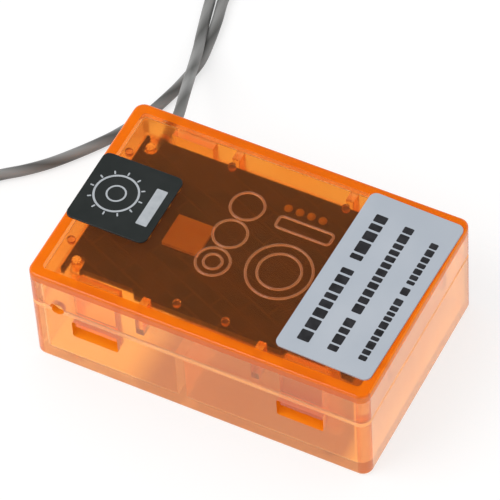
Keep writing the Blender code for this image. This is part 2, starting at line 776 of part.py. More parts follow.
def antenna(jacket, bare, metal):
    """The lead inside the case, the free lead with its coil, and the bare tip."""
    bore_y = (HALF_WIDTH - WALL / 2) / MM
    bore_x = BORE_X / MM
    bore_z = BORE_Z / MM
    post = Vector((POST_XS[0], POST_Y, 0.0))
    leg = Vector((WINDOW_XS[0] - LEG_WIDTH / 2, LEG_BACK, 0.0))
    away = (leg - post).normalized()
    passage = (post + away * POST_RADIUS + leg) / 2 / MM
    end = (HEADER_X, (HEADER_SHIFT + PORTS * PITCH / 2 + LEG_BACK) / 2)
    under = (BOARD_BOTTOM - CLEARANCE - COAX_DIAMETER / 2) / MM
    tube("antenna_tail", [
        (bore_x, bore_y - 0.15, bore_z),
        (bore_x, bore_y - 0.85, bore_z),
        (bore_x + 0.25, bore_y - 1.7, bore_z),
        (passage.x, passage.y, bore_z + 0.15),
        (end[0] / MM, end[1] / MM, under),
        ((end[0] + TAIL_RUN) / MM, end[1] / MM, under),
    ], COAX_DIAMETER, jacket, spacing=0.6)
    spot = (end[0] + TAIL_RUN + CLEARANCE + JOINT_RADIUS, end[1])
    high = BOARD_BOTTOM - SOLDER_FILM
    add("antenna_joint", loft([
        circle(spot, JOINT_RADIUS * 0.5, high - JOINT_HEIGHT),
        circle(spot, JOINT_RADIUS * 0.9, high - JOINT_HEIGHT / 2),
        circle(spot, JOINT_RADIUS, high),
    ]), metal)

    floor = COAX_DIAMETER / 2 / MM
    tube("antenna_lead_out", [
        (bore_x, bore_y + 0.15, bore_z),
        (bore_x - 0.15, bore_y + 1.6, bore_z + 0.02),
        (-19.0, 18.3, 9.9),
        (-20.1, 21.5, 8.8),
        (-21.8, 25.8, 6.4),
        (-23.1, 29.0, 4.4),
        (-24.15, 31.8, 3.0),
        (-25.0, 34.3, 2.2),
        (-25.9, 36.9, 1.4),
        (-27.0, 40.7, 0.8),
        (-27.65, 43.3, floor),
        (-28.4, 45.2, floor),
        (-29.7, 46.9, floor),
        (-31.3, 48.4, floor),
    ], COAX_DIAMETER, jacket)
    tube("antenna_lead_back", [
        (-24.5, 50.15, floor),
        (-25.2, 48.0, floor),
        (-25.75, 46.0, floor),
        (-25.8, 44.15, floor),
        (-24.95, 40.5, floor),
        (-24.55, 37.0, floor),
        (-24.45, 33.45, floor),
        (-24.8, 30.05, floor),
        (-25.4, 26.9, floor),
        (-26.6, 22.6, floor),
        (-28.3, 18.9, floor),
        (-29.7, 16.6, floor),
        (-31.7, 13.8, floor),
        (-33.8, 11.2, floor),
        (-36.1, 8.95, floor),
        (-38.5, 7.0, floor),
        (-40.6, 4.9, floor),
    ], COAX_DIAMETER, jacket)
    low = TIP_DIAMETER / 2 / MM
    tube("antenna_tip", [
        (-40.9, 4.6, low + 0.2),
        (-42.2, 2.2, low + 0.08),
        (-42.6, -1.0, low + 0.02),
        (-41.9, -5.0, low),
        (-40.4, -9.0, low),
        (-38.4, -13.2, low),
        (-36.2, -17.4, low),
        (-33.8, -21.6, low),
        (-32.7, -23.6, low),
    ], TIP_DIAMETER, bare)

    half = COAX_DIAMETER / 2
    height = COIL_TURNS_HIGH * COAX_DIAMETER
    outline = rounded_outline(half, height / 2, half * COIL_SECTION_ROUND, 3)
    section = [(COIL_RADIUS + x, height / 2 + y) for x, y in outline]
    add("antenna_coil", turned_ring(section, COIL_CENTRE, COIL_STEPS), jacket)


def main():
    """Clear the scene and build the receiver."""
    for item in list(bpy.data.objects):
        bpy.data.objects.remove(item)

    orange = finish("orange_plastic", (0.95, 0.24, 0.02), 0.22, alpha=0.45)
    laminate = finish("green_laminate", (0.03, 0.07, 0.03), 0.45)
    resin = finish("black_resin", (0.02, 0.02, 0.022), 0.5)
    gold = finish("gold_contact", (0.83, 0.62, 0.28), 0.3, metallic=1.0)
    tin = finish("tinned_metal", (0.72, 0.72, 0.7), 0.35, metallic=1.0)
    ceramic = finish("pale_ceramic", (0.55, 0.47, 0.38), 0.5)
    tantalum = finish("yellow_resin", (0.75, 0.5, 0.12), 0.45)
    lens = finish("clear_lens", (0.8, 0.75, 0.65), 0.25)
    silver = finish("silver_label", (0.5, 0.55, 0.6), 0.4)
    black = finish("black_label", (0.015, 0.018, 0.02), 0.4)
    jacket = finish("grey_jacket", (0.19, 0.19, 0.19), 0.5)
    bare = finish("tip_insulation", (0.62, 0.6, 0.56), 0.45)

    case_base(orange)
    case_cover(orange)
    circuit_board(laminate)
    header_block(resin)
    header_pins(gold)
    components(resin, tin, ceramic, tantalum, lens)
    solder_points(tin)
    place = (HALF_LENGTH - LONG_LABEL_INSET, LONG_LABEL_SHIFT)
    label("long_label", LONG_LABEL_SIZE, place, LONG_LABEL_TURN, silver)
    place = (-HALF_LENGTH + SQUARE_LABEL_INSET, SQUARE_LABEL_SHIFT)
    label("square_label", SQUARE_LABEL_SIZE, place, 0.0, black)
    antenna(jacket, bare, tin)


main()
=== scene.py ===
"""Looks of a small radio-control receiver in a clear orange snap-fit case.

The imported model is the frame: +Z is up, and the case lies with its labelled
cover up and the middle of its bottom face on the origin. Sizes and places here
are in millimetres, and a mesh is made in metres. The shells, labels, leads,
solder and antenna are surfaces computed here. The board, header and component
bodies keep their solids and get their finishes.
"""

import logging
import math
from dataclasses import dataclass
from enum import Enum

import bmesh
import bpy
import numpy as np
from mathutils import Matrix, Vector


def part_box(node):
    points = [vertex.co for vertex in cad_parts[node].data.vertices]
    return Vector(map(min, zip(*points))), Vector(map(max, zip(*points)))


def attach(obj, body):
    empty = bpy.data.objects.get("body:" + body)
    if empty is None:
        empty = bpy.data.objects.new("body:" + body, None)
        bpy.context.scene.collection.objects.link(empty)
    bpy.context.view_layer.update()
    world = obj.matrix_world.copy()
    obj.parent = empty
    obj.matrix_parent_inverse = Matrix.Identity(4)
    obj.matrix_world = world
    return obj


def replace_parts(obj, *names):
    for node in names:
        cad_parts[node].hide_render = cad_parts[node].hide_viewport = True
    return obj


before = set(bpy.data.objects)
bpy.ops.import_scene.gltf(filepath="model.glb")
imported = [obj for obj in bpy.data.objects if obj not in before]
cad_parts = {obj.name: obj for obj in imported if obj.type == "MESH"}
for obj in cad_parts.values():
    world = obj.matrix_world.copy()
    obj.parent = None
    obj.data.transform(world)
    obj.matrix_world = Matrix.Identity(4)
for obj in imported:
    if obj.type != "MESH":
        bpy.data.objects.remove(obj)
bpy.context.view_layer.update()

MM = 0.001
BODY = "root"
# Points of a curve between two chosen points.
CURVE_STEPS = 24
# How much of its rounding a tube's end takes, which leaves its cap a small width.
END_SHARE = 0.96
# Most values of a noise lie between these.
NOISE_LOW, NOISE_HIGH = 0.3, 0.7

Array = np.ndarray
Colour = tuple[float, float, float]
Point = tuple[float, float, float]
Place = tuple[float, float]
Source = bpy.types.NodeSocket | float | tuple[float, ...]

log = logging.getLogger("receiver")


class Axis(Enum):
    """The three directions of the frame."""

    X = 0
    Y = 1
    Z = 2


class Operation(Enum):
    """How closed bodies change a shell."""

    ADD = "UNION"
    CUT = "DIFFERENCE"


@dataclass
class Surface:
    """A closed mesh as arrays, in millimetres.

    Fields:
        points: One row of x, y, z for each vertex.
        faces: The faces, each a list of vertex numbers.
        uvs: One row of u, v for each vertex, where a finish follows the surface.
    """

    points: Array
    faces: list[list[int]]
    uvs: Array | None = None

    def moved(self, offset: Point, turn: float = 0.0) -> "Surface":
        """Turn the surface about the vertical, then move it.

        Args:
            offset: How far it goes along each axis.
            turn: The turn in degrees.

        Returns:
            The same surface in its new place.
        """
        cosine, sine = math.cos(math.radians(turn)), math.sin(math.radians(turn))
        matrix = np.array([[cosine, sine, 0.0], [-sine, cosine, 0.0], [0.0, 0.0, 1.0]])
        return Surface(self.points @ matrix + np.array(offset), self.faces, self.uvs)


def merged(surfaces: list[Surface]) -> Surface:
    """Join several surfaces into one set of arrays.

    Args:
        surfaces: The surfaces.

    Returns:
        One surface, in which each keeps its own points.
    """
    starts = np.cumsum([0] + [len(s.points) for s in surfaces[:-1]])
    faces = [[v + int(start) for v in face] for start, s in zip(starts, surfaces) for face in s.faces]
    uvs = np.concatenate([s.uvs for s in surfaces]) if all(s.uvs is not None for s in surfaces) else None
    return Surface(np.concatenate([s.points for s in surfaces]), faces, uvs)


def grid_quads(rows: int, columns: int, rows_close: bool = False) -> Array:
    """Faces of a grid whose rows are rings.

    The face at row i and column j has the corners (i, j), (i, j + 1),
    (i + 1, j + 1) and (i + 1, j), counted round the ring.

    Args:
        rows: How many rings the grid has.
        columns: How many points each ring has.
        rows_close: True where the last ring joins the first.

    Returns:
        One row of four point numbers for each face.
    """
    i, j = np.meshgrid(np.arange(rows if rows_close else rows - 1), np.arange(columns), indexing="ij")
    below, above, after = i * columns, (i + 1) % rows * columns, (j + 1) % columns
    return np.stack([below + j, below + after, above + after, above + j], axis=-1).reshape(-1, 4)


def lofted(rings: Array, closed: bool = False) -> Surface:
    """A body through rings of points.

    Args:
        rings: Points of shape (rings, points round each ring, 3).
        closed: True where the last ring joins the first, and else a flat cap
            closes each end.

    Returns:
        The body.
    """
    count, around = rings.shape[:2]
    faces = grid_quads(count, around, closed).tolist()
    if not closed:
        faces.append(list(range(around))[::-1])
        faces.append(list(range((count - 1) * around, count * around)))
    return Surface(rings.reshape(-1, 3), faces)


def turned(section: list[Place], centre: Place, steps: int, closed: bool = False) -> Surface:
    """A section turned once about a vertical line.

    Point (i, j) lies at the section's radius i from the line, at angle j
    round it and at the section's height i.

    Args:
        section: Radius and height of each point.
        centre: Where the line stands.
        steps: Points round the circle.
        closed: True for a ring whose section closes on itself.

    Returns:
        The turned body.
    """
    radius, height = np.array(section).T[:, :, None]
    angle = np.arange(steps) * math.tau / steps
    rings = np.stack([
        centre[0] + radius * np.cos(angle),
        centre[1] + radius * np.sin(angle),
        height + 0.0 * angle,
    ], axis=-1)
    return lofted(rings, closed)


def rounded_rings(
    half: Place, corner: float, levels: list[Place], least_corner: float, steps: int = 8
) -> Array:
    """Rounded rectangles about the origin, one for each inset and height.

    With r the corner radius less the inset, but no less than the least one, a
    point lies at the corner's centre, which is half a side less the inset and
    r, plus r times the cosine and sine of its angle.

    Args:
        half: Half of each side.
        corner: The corner radius at no inset.
        levels: Inset and height of each ring.
        least_corner: The smallest corner radius.
        steps: Facets in each corner.

    Returns:
        Points of shape (rings, points round, 3).
    """
    inset, height = np.array(levels).T[:, :, None]
    quarter = np.linspace(0.0, math.pi / 2, steps + 1)
    angle = (quarter + np.arange(4)[:, None] * math.pi / 2).ravel()
    across = np.repeat([1, -1, -1, 1], steps + 1)
    along = np.repeat([1, 1, -1, -1], steps + 1)
    radius = np.maximum(corner - inset, least_corner)
    return np.stack([
        across * (half[0] - inset - radius) + radius * np.cos(angle),
        along * (half[1] - inset - radius) + radius * np.sin(angle),
        height + 0.0 * angle,
    ], axis=-1)


def quarter_round(inset: float, height: float, radius: float, upward: int, steps: int = 5) -> list[Place]:
    """Levels of a quarter circle from a level face to an upright one.

    With t from 0 on the level face to a right angle on the upright one, the
    inset is the upright face's plus radius (1 - sin t), and the height is the
    level face's plus upward times radius (1 - cos t).

    Args:
        inset: The inset of the upright face.
        height: The height of the level face.
        radius: The radius of the round.
        upward: 1 where the upright face rises from the level one, else -1.
        steps: Facets of the round.

    Returns:
        Inset and height of each ring.
    """
    angle = np.linspace(0.0, math.pi / 2, steps + 1)
    insets = inset + radius * (1.0 - np.sin(angle))
    heights = height + upward * radius * (1.0 - np.cos(angle))
    return list(zip(insets.tolist(), heights.tolist()))


def softened(corners: list[Place], radius: float, steps: int = 4) -> Array:
    """An outline with its corners rounded.

    Each corner becomes the quadratic curve that it steers, between the points
    one radius before it and one radius after it.

    Args:
        corners: The outline's corners, in order.
        radius: How far from each corner its curve starts and ends.
        steps: Facets of each curve.

    Returns:
        The new outline.
    """
    corner = np.array(corners)
    before = np.roll(corner, 1, axis=0) - corner
    after = np.roll(corner, -1, axis=0) - corner
    start = corner + radius * before / np.linalg.norm(before, axis=1, keepdims=True)
    end = corner + radius * after / np.linalg.norm(after, axis=1, keepdims=True)
    t = np.linspace(0.0, 1.0, steps + 1)[None, :, None]
    curve = (1 - t) ** 2 * start[:, None] + 2 * t * (1 - t) * corner[:, None] + t ** 2 * end[:, None]
    return curve.reshape(-1, 2)


def circle(centre: Place, radius: float, steps: int = 32) -> Array:
    """Points round a circle, at even angles."""
    angle = np.arange(steps) * math.tau / steps
    return np.column_stack([centre[0] + radius * np.cos(angle), centre[1] + radius * np.sin(angle)])


def rectangle(centre: Place, half: Place) -> list[Place]:
    """The four corners of a rectangle, in order."""
    signs = ((1, 1), (-1, 1), (-1, -1), (1, -1))
    return [(centre[0] + across * half[0], centre[1] + along * half[1]) for across, along in signs]


def prism(outline: Array, axis: Axis, low: float, high: float) -> Surface:
    """An outline carried along one axis.

    Args:
        outline: Its points on the other two axes, in their order.
        axis: The direction that it is carried along.
        low: Where it starts.
        high: Where it ends.

    Returns:
        The prism.
    """
    return lofted(np.array([np.insert(outline, axis.value, level, axis=1) for level in (low, high)]))


def smooth_path(points: Array, spacing: float) -> Array:
    """Evenly spaced points on a Catmull-Rom curve through chosen points.

    Between two points the curve is a cubic whose slope at each point is half
    of the step between that point's two neighbours.

    Args:
        points: The chosen points, one a row.
        spacing: About how far apart the new points lie.

    Returns:
        The new points, the first and last of them as chosen.
    """
    padded = np.vstack([2 * points[0] - points[1], points, 2 * points[-1] - points[-2]])
    windows = (padded[:-3], padded[1:-2], padded[2:-1], padded[3:])
    before, start, end, after = (part[:, None, :] for part in windows)
    t = np.linspace(0.0, 1.0, CURVE_STEPS, endpoint=False)[None, :, None]
    fine = 0.5 * (
        2 * start
        + (end - before) * t
        + (2 * before - 5 * start + 4 * end - after) * t ** 2
        + (3 * start - before - 3 * end + after) * t ** 3
    )
    fine = np.vstack([fine.reshape(-1, 3), points[-1]])
    travel = distances(fine)
    even = np.linspace(0.0, travel[-1], max(2, round(travel[-1] / spacing)) + 1)
    return np.stack([np.interp(even, travel, fine[:, k]) for k in range(3)], axis=1)


def distances(path: Array) -> Array:
    """The distance of each point from the start, along the path."""
    return np.concatenate([[0.0], np.cumsum(np.linalg.norm(np.diff(path, axis=0), axis=1))])


def swept_tube(path: Array, radius: float, sides: int, end_round: float) -> Surface:
    """A round tube along a path that is never upright.

    Ring i lies across the path at point i: its points are the path's point
    plus radius times (cos a) sideways and (sin a) upwards, where sideways is
    level. Near its ends the radius shrinks along a quarter circle. u is the
    distance along the path and v the share of a turn.

    Args:
        path: The tube's centre line.
        radius: The tube's radius.
        sides: Points round the tube.
        end_round: The rounding of its two ends.

    Returns:
        The tube.
    """
    ahead = np.gradient(path, axis=0)
    ahead /= np.linalg.norm(ahead, axis=1, keepdims=True)
    sideways = np.cross(ahead, (0.0, 0.0, 1.0))
    sideways /= np.linalg.norm(sideways, axis=1, keepdims=True)
    upward = np.cross(sideways, ahead)
    travel = distances(path)
    short = np.clip(1.0 - np.minimum(travel, travel[-1] - travel) / end_round, 0.0, 1.0)
    width = radius - end_round * (1.0 - np.sqrt(1.0 - END_SHARE * short ** 2))
    angle = np.arange(sides) * math.tau / sides
    rings = (
        path[:, None]
        + (width[:, None] * np.cos(angle))[:, :, None] * sideways[:, None]
        + (width[:, None] * np.sin(angle))[:, :, None] * upward[:, None]
    )
    tube = lofted(rings)
    tube.uvs = np.stack(np.broadcast_arrays(travel[:, None], angle / math.tau), axis=-1).reshape(-1, 2)
    return tube


def wrapped(mesh: bpy.types.Mesh, uvs: Array) -> Array:
    """The u, v of each face corner, with v carried past 1 where a face meets the seam.

    Args:
        mesh: The tube's mesh.
        uvs: The u, v of each vertex.

    Returns:
        One row for each face corner.
    """
    corners = np.zeros(len(mesh.loops), np.int32)
    starts = np.zeros(len(mesh.polygons), np.int32)
    mesh.loops.foreach_get("vertex_index", corners)
    mesh.polygons.foreach_get("loop_start", starts)
    run = uvs[corners]
    first = np.repeat(starts, np.diff(np.append(starts, len(corners))))
    behind = run[:, 1] - run[first, 1]
    run[:, 1] += np.where(behind < -0.5, 1.0, 0.0) - np.where(behind > 0.5, 1.0, 0.0)
    return run


def to_mesh(name: str, surface: Surface) -> bpy.types.Mesh:
    """Put a surface's arrays into a mesh in metres, with its faces outward.

    Args:
        name: The mesh's name.
        surface: The closed surface.

    Returns:
        The mesh, with a UV map if the surface has one.
    """
    mesh = bpy.data.meshes.new(name)
    mesh.from_pydata((surface.points * MM).tolist(), [], surface.faces)
    if surface.uvs is not None:
        layer = mesh.uv_layers.new(name="run")
        layer.data.foreach_set("uv", wrapped(mesh, surface.uvs).astype(np.float32).ravel())
    shape = bmesh.new()
    shape.from_mesh(mesh)
    bmesh.ops.recalc_face_normals(shape, faces=shape.faces)
    shape.to_mesh(mesh)
    shape.free()
    return mesh


def changed(mesh: bpy.types.Mesh, operation: Operation, bodies: list[Surface]) -> bpy.types.Mesh:
    """Unite a mesh with closed bodies, or cut them from it.

    Args:
        mesh: The mesh to change.
        operation: What to do.
        bodies: Closed bodies that stand clear of each other.

    Returns:
        The changed mesh.
    """
    body = bpy.data.objects.new("body", mesh)
    tool = bpy.data.objects.new("tool", to_mesh("tool", merged(bodies)))
    for item in (body, tool):
        bpy.context.scene.collection.objects.link(item)
    change = body.modifiers.new("change", "BOOLEAN")
    change.operation = operation.value
    change.solver = "EXACT"
    change.object = tool
    bpy.context.view_layer.update()
    view = bpy.context.evaluated_depsgraph_get()
    result = bpy.data.meshes.new_from_object(body.evaluated_get(view))
    for item in (body, tool):
        bpy.data.objects.remove(item)
    return result


def place_piece(
    name: str,
    mesh: bpy.types.Mesh,
    material: bpy.types.Material,
    smooth_below: float = 32.0,
) -> bpy.types.Object:
    """Show a mesh as one piece of the receiver.

    Args:
        name: The piece's name.
        mesh: Its mesh, in place.
        material: Its finish.
        smooth_below: Edges that turn less than these degrees are shaded smooth.

    Returns:
        The piece, riding on the body.
    """
    mesh.shade_smooth()
    mesh.set_sharp_from_angle(angle=math.radians(smooth_below))
    piece = bpy.data.objects.new(name, mesh)
    bpy.context.scene.collection.objects.link(piece)
    mesh.materials.clear()
    mesh.materials.append(material)
    weighted = piece.modifiers.new("flat_faces", "WEIGHTED_NORMAL")
    weighted.keep_sharp = True
    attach(piece, BODY)
    log.info("%s: %d faces", name, len(mesh.polygons))
    return piece


def node_box(name: str) -> tuple[Array, Array]:
    """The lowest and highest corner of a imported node, in millimetres."""
    low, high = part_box(name)
    return np.array(low) / MM, np.array(high) / MM


class Graph:
    """The nodes of one material, built round its Principled shader."""

    def __init__(self, name: str) -> None:
        """Start a material with a Principled shader.

        Args:
            name: The material's name.
        """
        self.material = bpy.data.materials.new(name)
        self.material.use_nodes = True
        self.tree = self.material.node_tree
        self.shader = self.tree.nodes["Principled BSDF"]
        self.coordinates = self.tree.nodes.new("ShaderNodeTexCoord")

    def node(
        self, kind: str, inputs: dict[str | int, Source] | None = None, **settings: str
    ) -> bpy.types.Node:
        """Add a node.

        Args:
            kind: The node's type.
            inputs: A value or a source socket for each named or numbered input.
            settings: The node's own properties.

        Returns:
            The node.
        """
        made = self.tree.nodes.new(kind)
        for key, value in settings.items():
            setattr(made, key, value)
        for key, value in (inputs or {}).items():
            self.feed(made, key, value)
        return made

    def feed(self, node: bpy.types.Node, key: str | int, value: Source) -> None:
        """Link a socket to a node's input, or set the input to a value.

        Args:
            node: The node.
            key: The input's name or number.
            value: The source socket or the value.
        """
        if isinstance(value, bpy.types.NodeSocket):
            self.tree.links.new(value, node.inputs[key])
        else:
            node.inputs[key].default_value = value

    def noise(
        self, scale: float, detail: float = 3.0, stretch: Point = (1.0, 1.0, 1.0)
    ) -> bpy.types.NodeSocket:
        """Noise on the object's own coordinates.

        Args:
            scale: Blobs in a metre.
            detail: How many finer layers it has.
            stretch: A factor for each axis.

        Returns:
            The noise's value.
        """
        own = self.coordinates.outputs["Object"]
        spread = self.node("ShaderNodeMapping", {"Vector": own, "Scale": stretch})
        texture = self.node("ShaderNodeTexNoise", {
            "Vector": spread.outputs[0], "Scale": scale, "Detail": detail,
        })
        return texture.outputs["Fac"]

    def ramp(self, value: bpy.types.NodeSocket, stops: list[tuple[float, Colour]]) -> bpy.types.NodeSocket:
        """Colours along a value.

        Args:
            value: The value, from 0 to 1.
            stops: Position and colour of each stop.

        Returns:
            The colour.
        """
        ramp = self.node("ShaderNodeValToRGB", {"Fac": value})
        elements = ramp.color_ramp.elements
        elements[0].position, elements[1].position = stops[0][0], stops[-1][0]
        elements[0].color, elements[1].color = (*stops[0][1], 1.0), (*stops[-1][1], 1.0)
        for position, colour in stops[1:-1]:
            elements.new(position).color = (*colour, 1.0)
        return ramp.outputs["Color"]

    def span(self, value: bpy.types.NodeSocket, low: float, high: float) -> bpy.types.NodeSocket:
        """Spread a value of 0 to 1 between two numbers."""
        spread = self.node("ShaderNodeMapRange", {"Value": value, "To Min": low, "To Max": high})
        return spread.outputs["Result"]

    def math(self, operation: str, first: Source, second: Source = 0.0) -> bpy.types.NodeSocket:
        """Work out a value from one or two others.

        Args:
            operation: The Math node's operation.
            first: A value or a source socket.
            second: Another, where the operation takes two.

        Returns:
            The result's socket.
        """
        return self.node("ShaderNodeMath", {0: first, 1: second}, operation=operation).outputs[0]

    def bump(self, height: bpy.types.NodeSocket, distance: float, strength: float = 1.0) -> None:
        """Raise the surface's shading by a height map.

        Args:
            height: The map, from 0 to 1.
            distance: The height at 1, in metres.
            strength: How much of it shows.
        """
        bump = self.node("ShaderNodeBump", {"Height": height, "Distance": distance, "Strength": strength})
        self.feed(self.shader, "Normal", bump.outputs["Normal"])


@dataclass(frozen=True)
class ClearPlastic:
    """Moulded clear plastic, dyed orange.

    Fields:
        name: The material's name.
        thin: The tint where the plastic is thin; light that passes a wall
            takes it once.
        thick: The tint where it is a little thicker.
        clarity: The share of light that passes; the rest is scattered.
        glow: The colour of a painted glow that stands in for the light the plastic carries along inside.
        glow_level: How strong that painted glow is.
        haze: How much pale haze shows where the surface is seen at a slant.
        gloss: The roughness of the smoothest and dullest spots.
        refraction: The index of refraction.
        flow: Flow marks in a metre.
        patches: Smooth and dull spots in a metre.
        ripples: Ripples in a metre.
        ripple_height: Their height, in metres.
        ripple_strength: How much of that height shows.
    """

    name: str
    thin: Colour
    thick: Colour
    clarity: float
    glow: Colour
    glow_level: float
    haze: float = 0.0
    gloss: tuple[float, float] = (0.12, 0.2)
    refraction: float = 1.49
    flow: float = 90.0
    patches: float = 400.0
    ripples: float = 500.0
    ripple_height: float = 0.00002
    ripple_strength: float = 0.3

    def material(self) -> bpy.types.Material:
        """The finish, with faint flow marks, moulded ripple and a painted glow.

        Returns:
            The material.
        """
        graph = Graph(self.name)
        flow = graph.noise(self.flow, 2.0, (1.0, 3.0, 1.0))
        stops = [(NOISE_LOW, self.thin), (NOISE_HIGH, self.thick)]
        graph.feed(graph.shader, "Base Color", graph.ramp(flow, stops))
        graph.feed(graph.shader, "Roughness", graph.span(graph.noise(self.patches), *self.gloss))
        graph.feed(graph.shader, "IOR", self.refraction)
        graph.feed(graph.shader, "Transmission Weight", self.clarity)
        graph.feed(graph.shader, "Sheen Weight", self.haze)
        # Painted glow: the plastic emits light of its own in place of the light it carries inside.
        graph.feed(graph.shader, "Emission Color", (*self.glow, 1.0))
        graph.feed(graph.shader, "Emission Strength", self.glow_level)
        graph.bump(graph.noise(self.ripples, 2.0), self.ripple_height, self.ripple_strength)
        return graph.material


class Look(Enum):
    """The looks that the one orange plastic has on the parts of the case."""

    WALL = 0
    ROOF = 1
    RIM = 2
    LEG = 3
    FOOT = 4
    SEAM = 5
    MARK = 6
    END = 7
    CORNER = 8
    SILL = 9
    BROW = 10


# Each look's name, thin and thick tint, clarity, painted glow, the glow's level, and its haze if it has any.
PLASTICS = {
    Look.WALL: ClearPlastic(
        "hazy_orange", (1.0, 0.67, 0.26), (1.0, 0.61, 0.21), 0.93, (1.0, 0.28, 0.02), 0.06, 0.12,
    ),
    Look.ROOF: ClearPlastic(
        "clear_orange", (1.0, 0.62, 0.23), (1.0, 0.57, 0.18), 0.98, (1.0, 0.2, 0.01), 0.02,
    ),
    # Painted glow: the rim over the walls is mostly an opaque deep orange that glows, in place of light
    # gathered in it.
    Look.RIM: ClearPlastic(
        "lit_orange", (0.96, 0.2, 0.0), (0.88, 0.16, 0.0), 0.3, (1.0, 0.2, 0.0), 0.04,
    ),
    Look.LEG: ClearPlastic(
        "deep_orange", (1.0, 0.4, 0.06), (1.0, 0.34, 0.04), 0.9, (1.0, 0.22, 0.01), 0.05,
    ),
    # Painted light: the rounded foot and the base's webs are paler and glow, in place of light carried into
    # them.
    Look.FOOT: ClearPlastic(
        "pale_orange", (1.0, 0.68, 0.27), (1.0, 0.62, 0.22), 0.8, (1.0, 0.4, 0.15), 0.13, 0.2,
    ),
    # Painted highlight: the rounded edges at the seam glow as a pale line.
    Look.SEAM: ClearPlastic(
        "seam_orange", (1.0, 0.6, 0.27), (1.0, 0.55, 0.22), 0.6, (1.0, 0.4, 0.15), 0.22, 0.2,
    ),
    Look.MARK: ClearPlastic(
        "raised_orange", (1.0, 0.38, 0.12), (1.0, 0.32, 0.1), 0.75, (1.0, 0.25, 0.05), 0.05, 0.1,
    ),
    # Painted light: the end walls are paler and glow more, in place of light falling on them from the side.
    Look.END: ClearPlastic(
        "painted_lit_end_orange", (1.0, 0.64, 0.32), (1.0, 0.58, 0.26), 0.7, (1.0, 0.5, 0.25), 0.2, 0.2,
    ),
    Look.CORNER: ClearPlastic(
        "corner_orange", (1.0, 0.35, 0.07), (1.0, 0.3, 0.05), 0.8, (1.0, 0.3, 0.04), 0.03, 0.1,
    ),
    # Painted glow: the sides of windows and holes are mostly an opaque deep orange that glows, in place of
    # light gathered there.
    Look.SILL: ClearPlastic(
        "window_orange", (1.0, 0.28, 0.005), (0.96, 0.23, 0.003), 0.3, (1.0, 0.3, 0.01), 0.05,
    ),
    # Painted glow: the rim at the case's ends glows most of all, in place of light gathered there.
    Look.BROW: ClearPlastic(
        "end_rim_orange", (1.0, 0.28, 0.01), (0.97, 0.24, 0.01), 0.3, (1.0, 0.24, 0.01), 0.12,
        refraction=1.2,
    ),
}


@dataclass(frozen=True)
class Plain:
    """An opaque finish whose colour and gloss wander a little over the piece.

    Fields:
        name: The material's name.
        dark: The darkest colour.
        light: The lightest colour.
        scale: Blobs in a metre.
        gloss: The roughness of the smoothest and dullest spots.
        metallic: 1 for bare metal.
        relief: The height of the fine relief, in metres.
        stretch: A factor for each axis of the blobs.
    """

    name: str
    dark: Colour
    light: Colour
    scale: float
    gloss: tuple[float, float]
    metallic: float = 0.0
    relief: float = 0.00001
    stretch: Point = (1.0, 1.0, 1.0)

    def material(self) -> bpy.types.Material:
        """The finish, with blobs of its two colours and a fine relief.

        Returns:
            The material.
        """
        graph = Graph(self.name)
        wander = graph.noise(self.scale, 4.0, self.stretch)
        stops = [(NOISE_LOW, self.dark), (NOISE_HIGH, self.light)]
        graph.feed(graph.shader, "Base Color", graph.ramp(wander, stops))
        graph.feed(graph.shader, "Roughness", graph.span(graph.noise(self.scale * 2.0), *self.gloss))
        graph.feed(graph.shader, "Metallic", self.metallic)
        graph.bump(graph.noise(self.scale * 4.0, 3.0, self.stretch), self.relief)
        return graph.material


@dataclass(frozen=True)
class BoardLaminate:
    """Solder mask over copper tracks, which show as slightly paler lines.

    Fields:
        bare_mask: The mask's colour over bare laminate.
        pour_mask: Its colour over broad fields of copper.
        track: Its colour over a track.
        pitch: The distance between rows of tracks, in metres.
        track_width: The width of a track, for each unit of pitch.
        track_run: How far a track runs before it turns off, likewise.
        slant: How far the tracks are turned, in radians.
        pours: Broad fields of copper in a metre.
        pour_level: The most that a field counts, where a track counts 1.
        steps: From which count on each colour shows.
        grain: Smooth and dull spots in a metre.
        gloss: The roughness of the smoothest and dullest spots.
        track_height: How far a track stands up, in metres.
        track_strength: How much of that height shows.
    """

    bare_mask: Colour = (0.09, 0.057, 0.016)
    pour_mask: Colour = (0.13, 0.073, 0.018)
    track: Colour = (0.15, 0.085, 0.026)
    pitch: float = 0.0021
    track_width: float = 0.07
    track_run: float = 2.6
    slant: float = 0.4
    pours: float = 160.0
    pour_level: float = 0.9
    steps: tuple[float, float, float] = (0.38, 0.5, 1.0)
    grain: float = 900.0
    gloss: tuple[float, float] = (0.32, 0.48)
    track_height: float = 0.00003
    track_strength: float = 0.6

    def material(self) -> bpy.types.Material:
        """The finish, with raised tracks over broad fields of copper.

        Returns:
            The material.
        """
        graph = Graph("solder_mask")
        own = graph.coordinates.outputs["Object"]
        lay = graph.node("ShaderNodeMapping", {"Vector": own, "Rotation": (0.0, 0.0, self.slant)})
        tracks = graph.node("ShaderNodeTexBrick", {
            "Vector": lay.outputs[0],
            "Color1": (0.0, 0.0, 0.0, 1.0),
            "Color2": (0.0, 0.0, 0.0, 1.0),
            "Mortar": (1.0, 1.0, 1.0, 1.0),
            "Scale": 1.0,
            "Mortar Size": self.pitch * self.track_width,
            "Brick Width": self.pitch * self.track_run,
            "Row Height": self.pitch,
        })
        pours = graph.span(graph.noise(self.pours, 2.0, (1.0, 1.6, 1.0)), 0.0, self.pour_level)
        copper = graph.math("MAXIMUM", pours, tracks.outputs["Color"])
        tone = graph.ramp(copper, list(zip(self.steps, (self.bare_mask, self.pour_mask, self.track))))
        graph.feed(graph.shader, "Base Color", tone)
        graph.feed(graph.shader, "Roughness", graph.span(graph.noise(self.grain), *self.gloss))
        graph.bump(tracks.outputs["Color"], self.track_height, self.track_strength)
        return graph.material


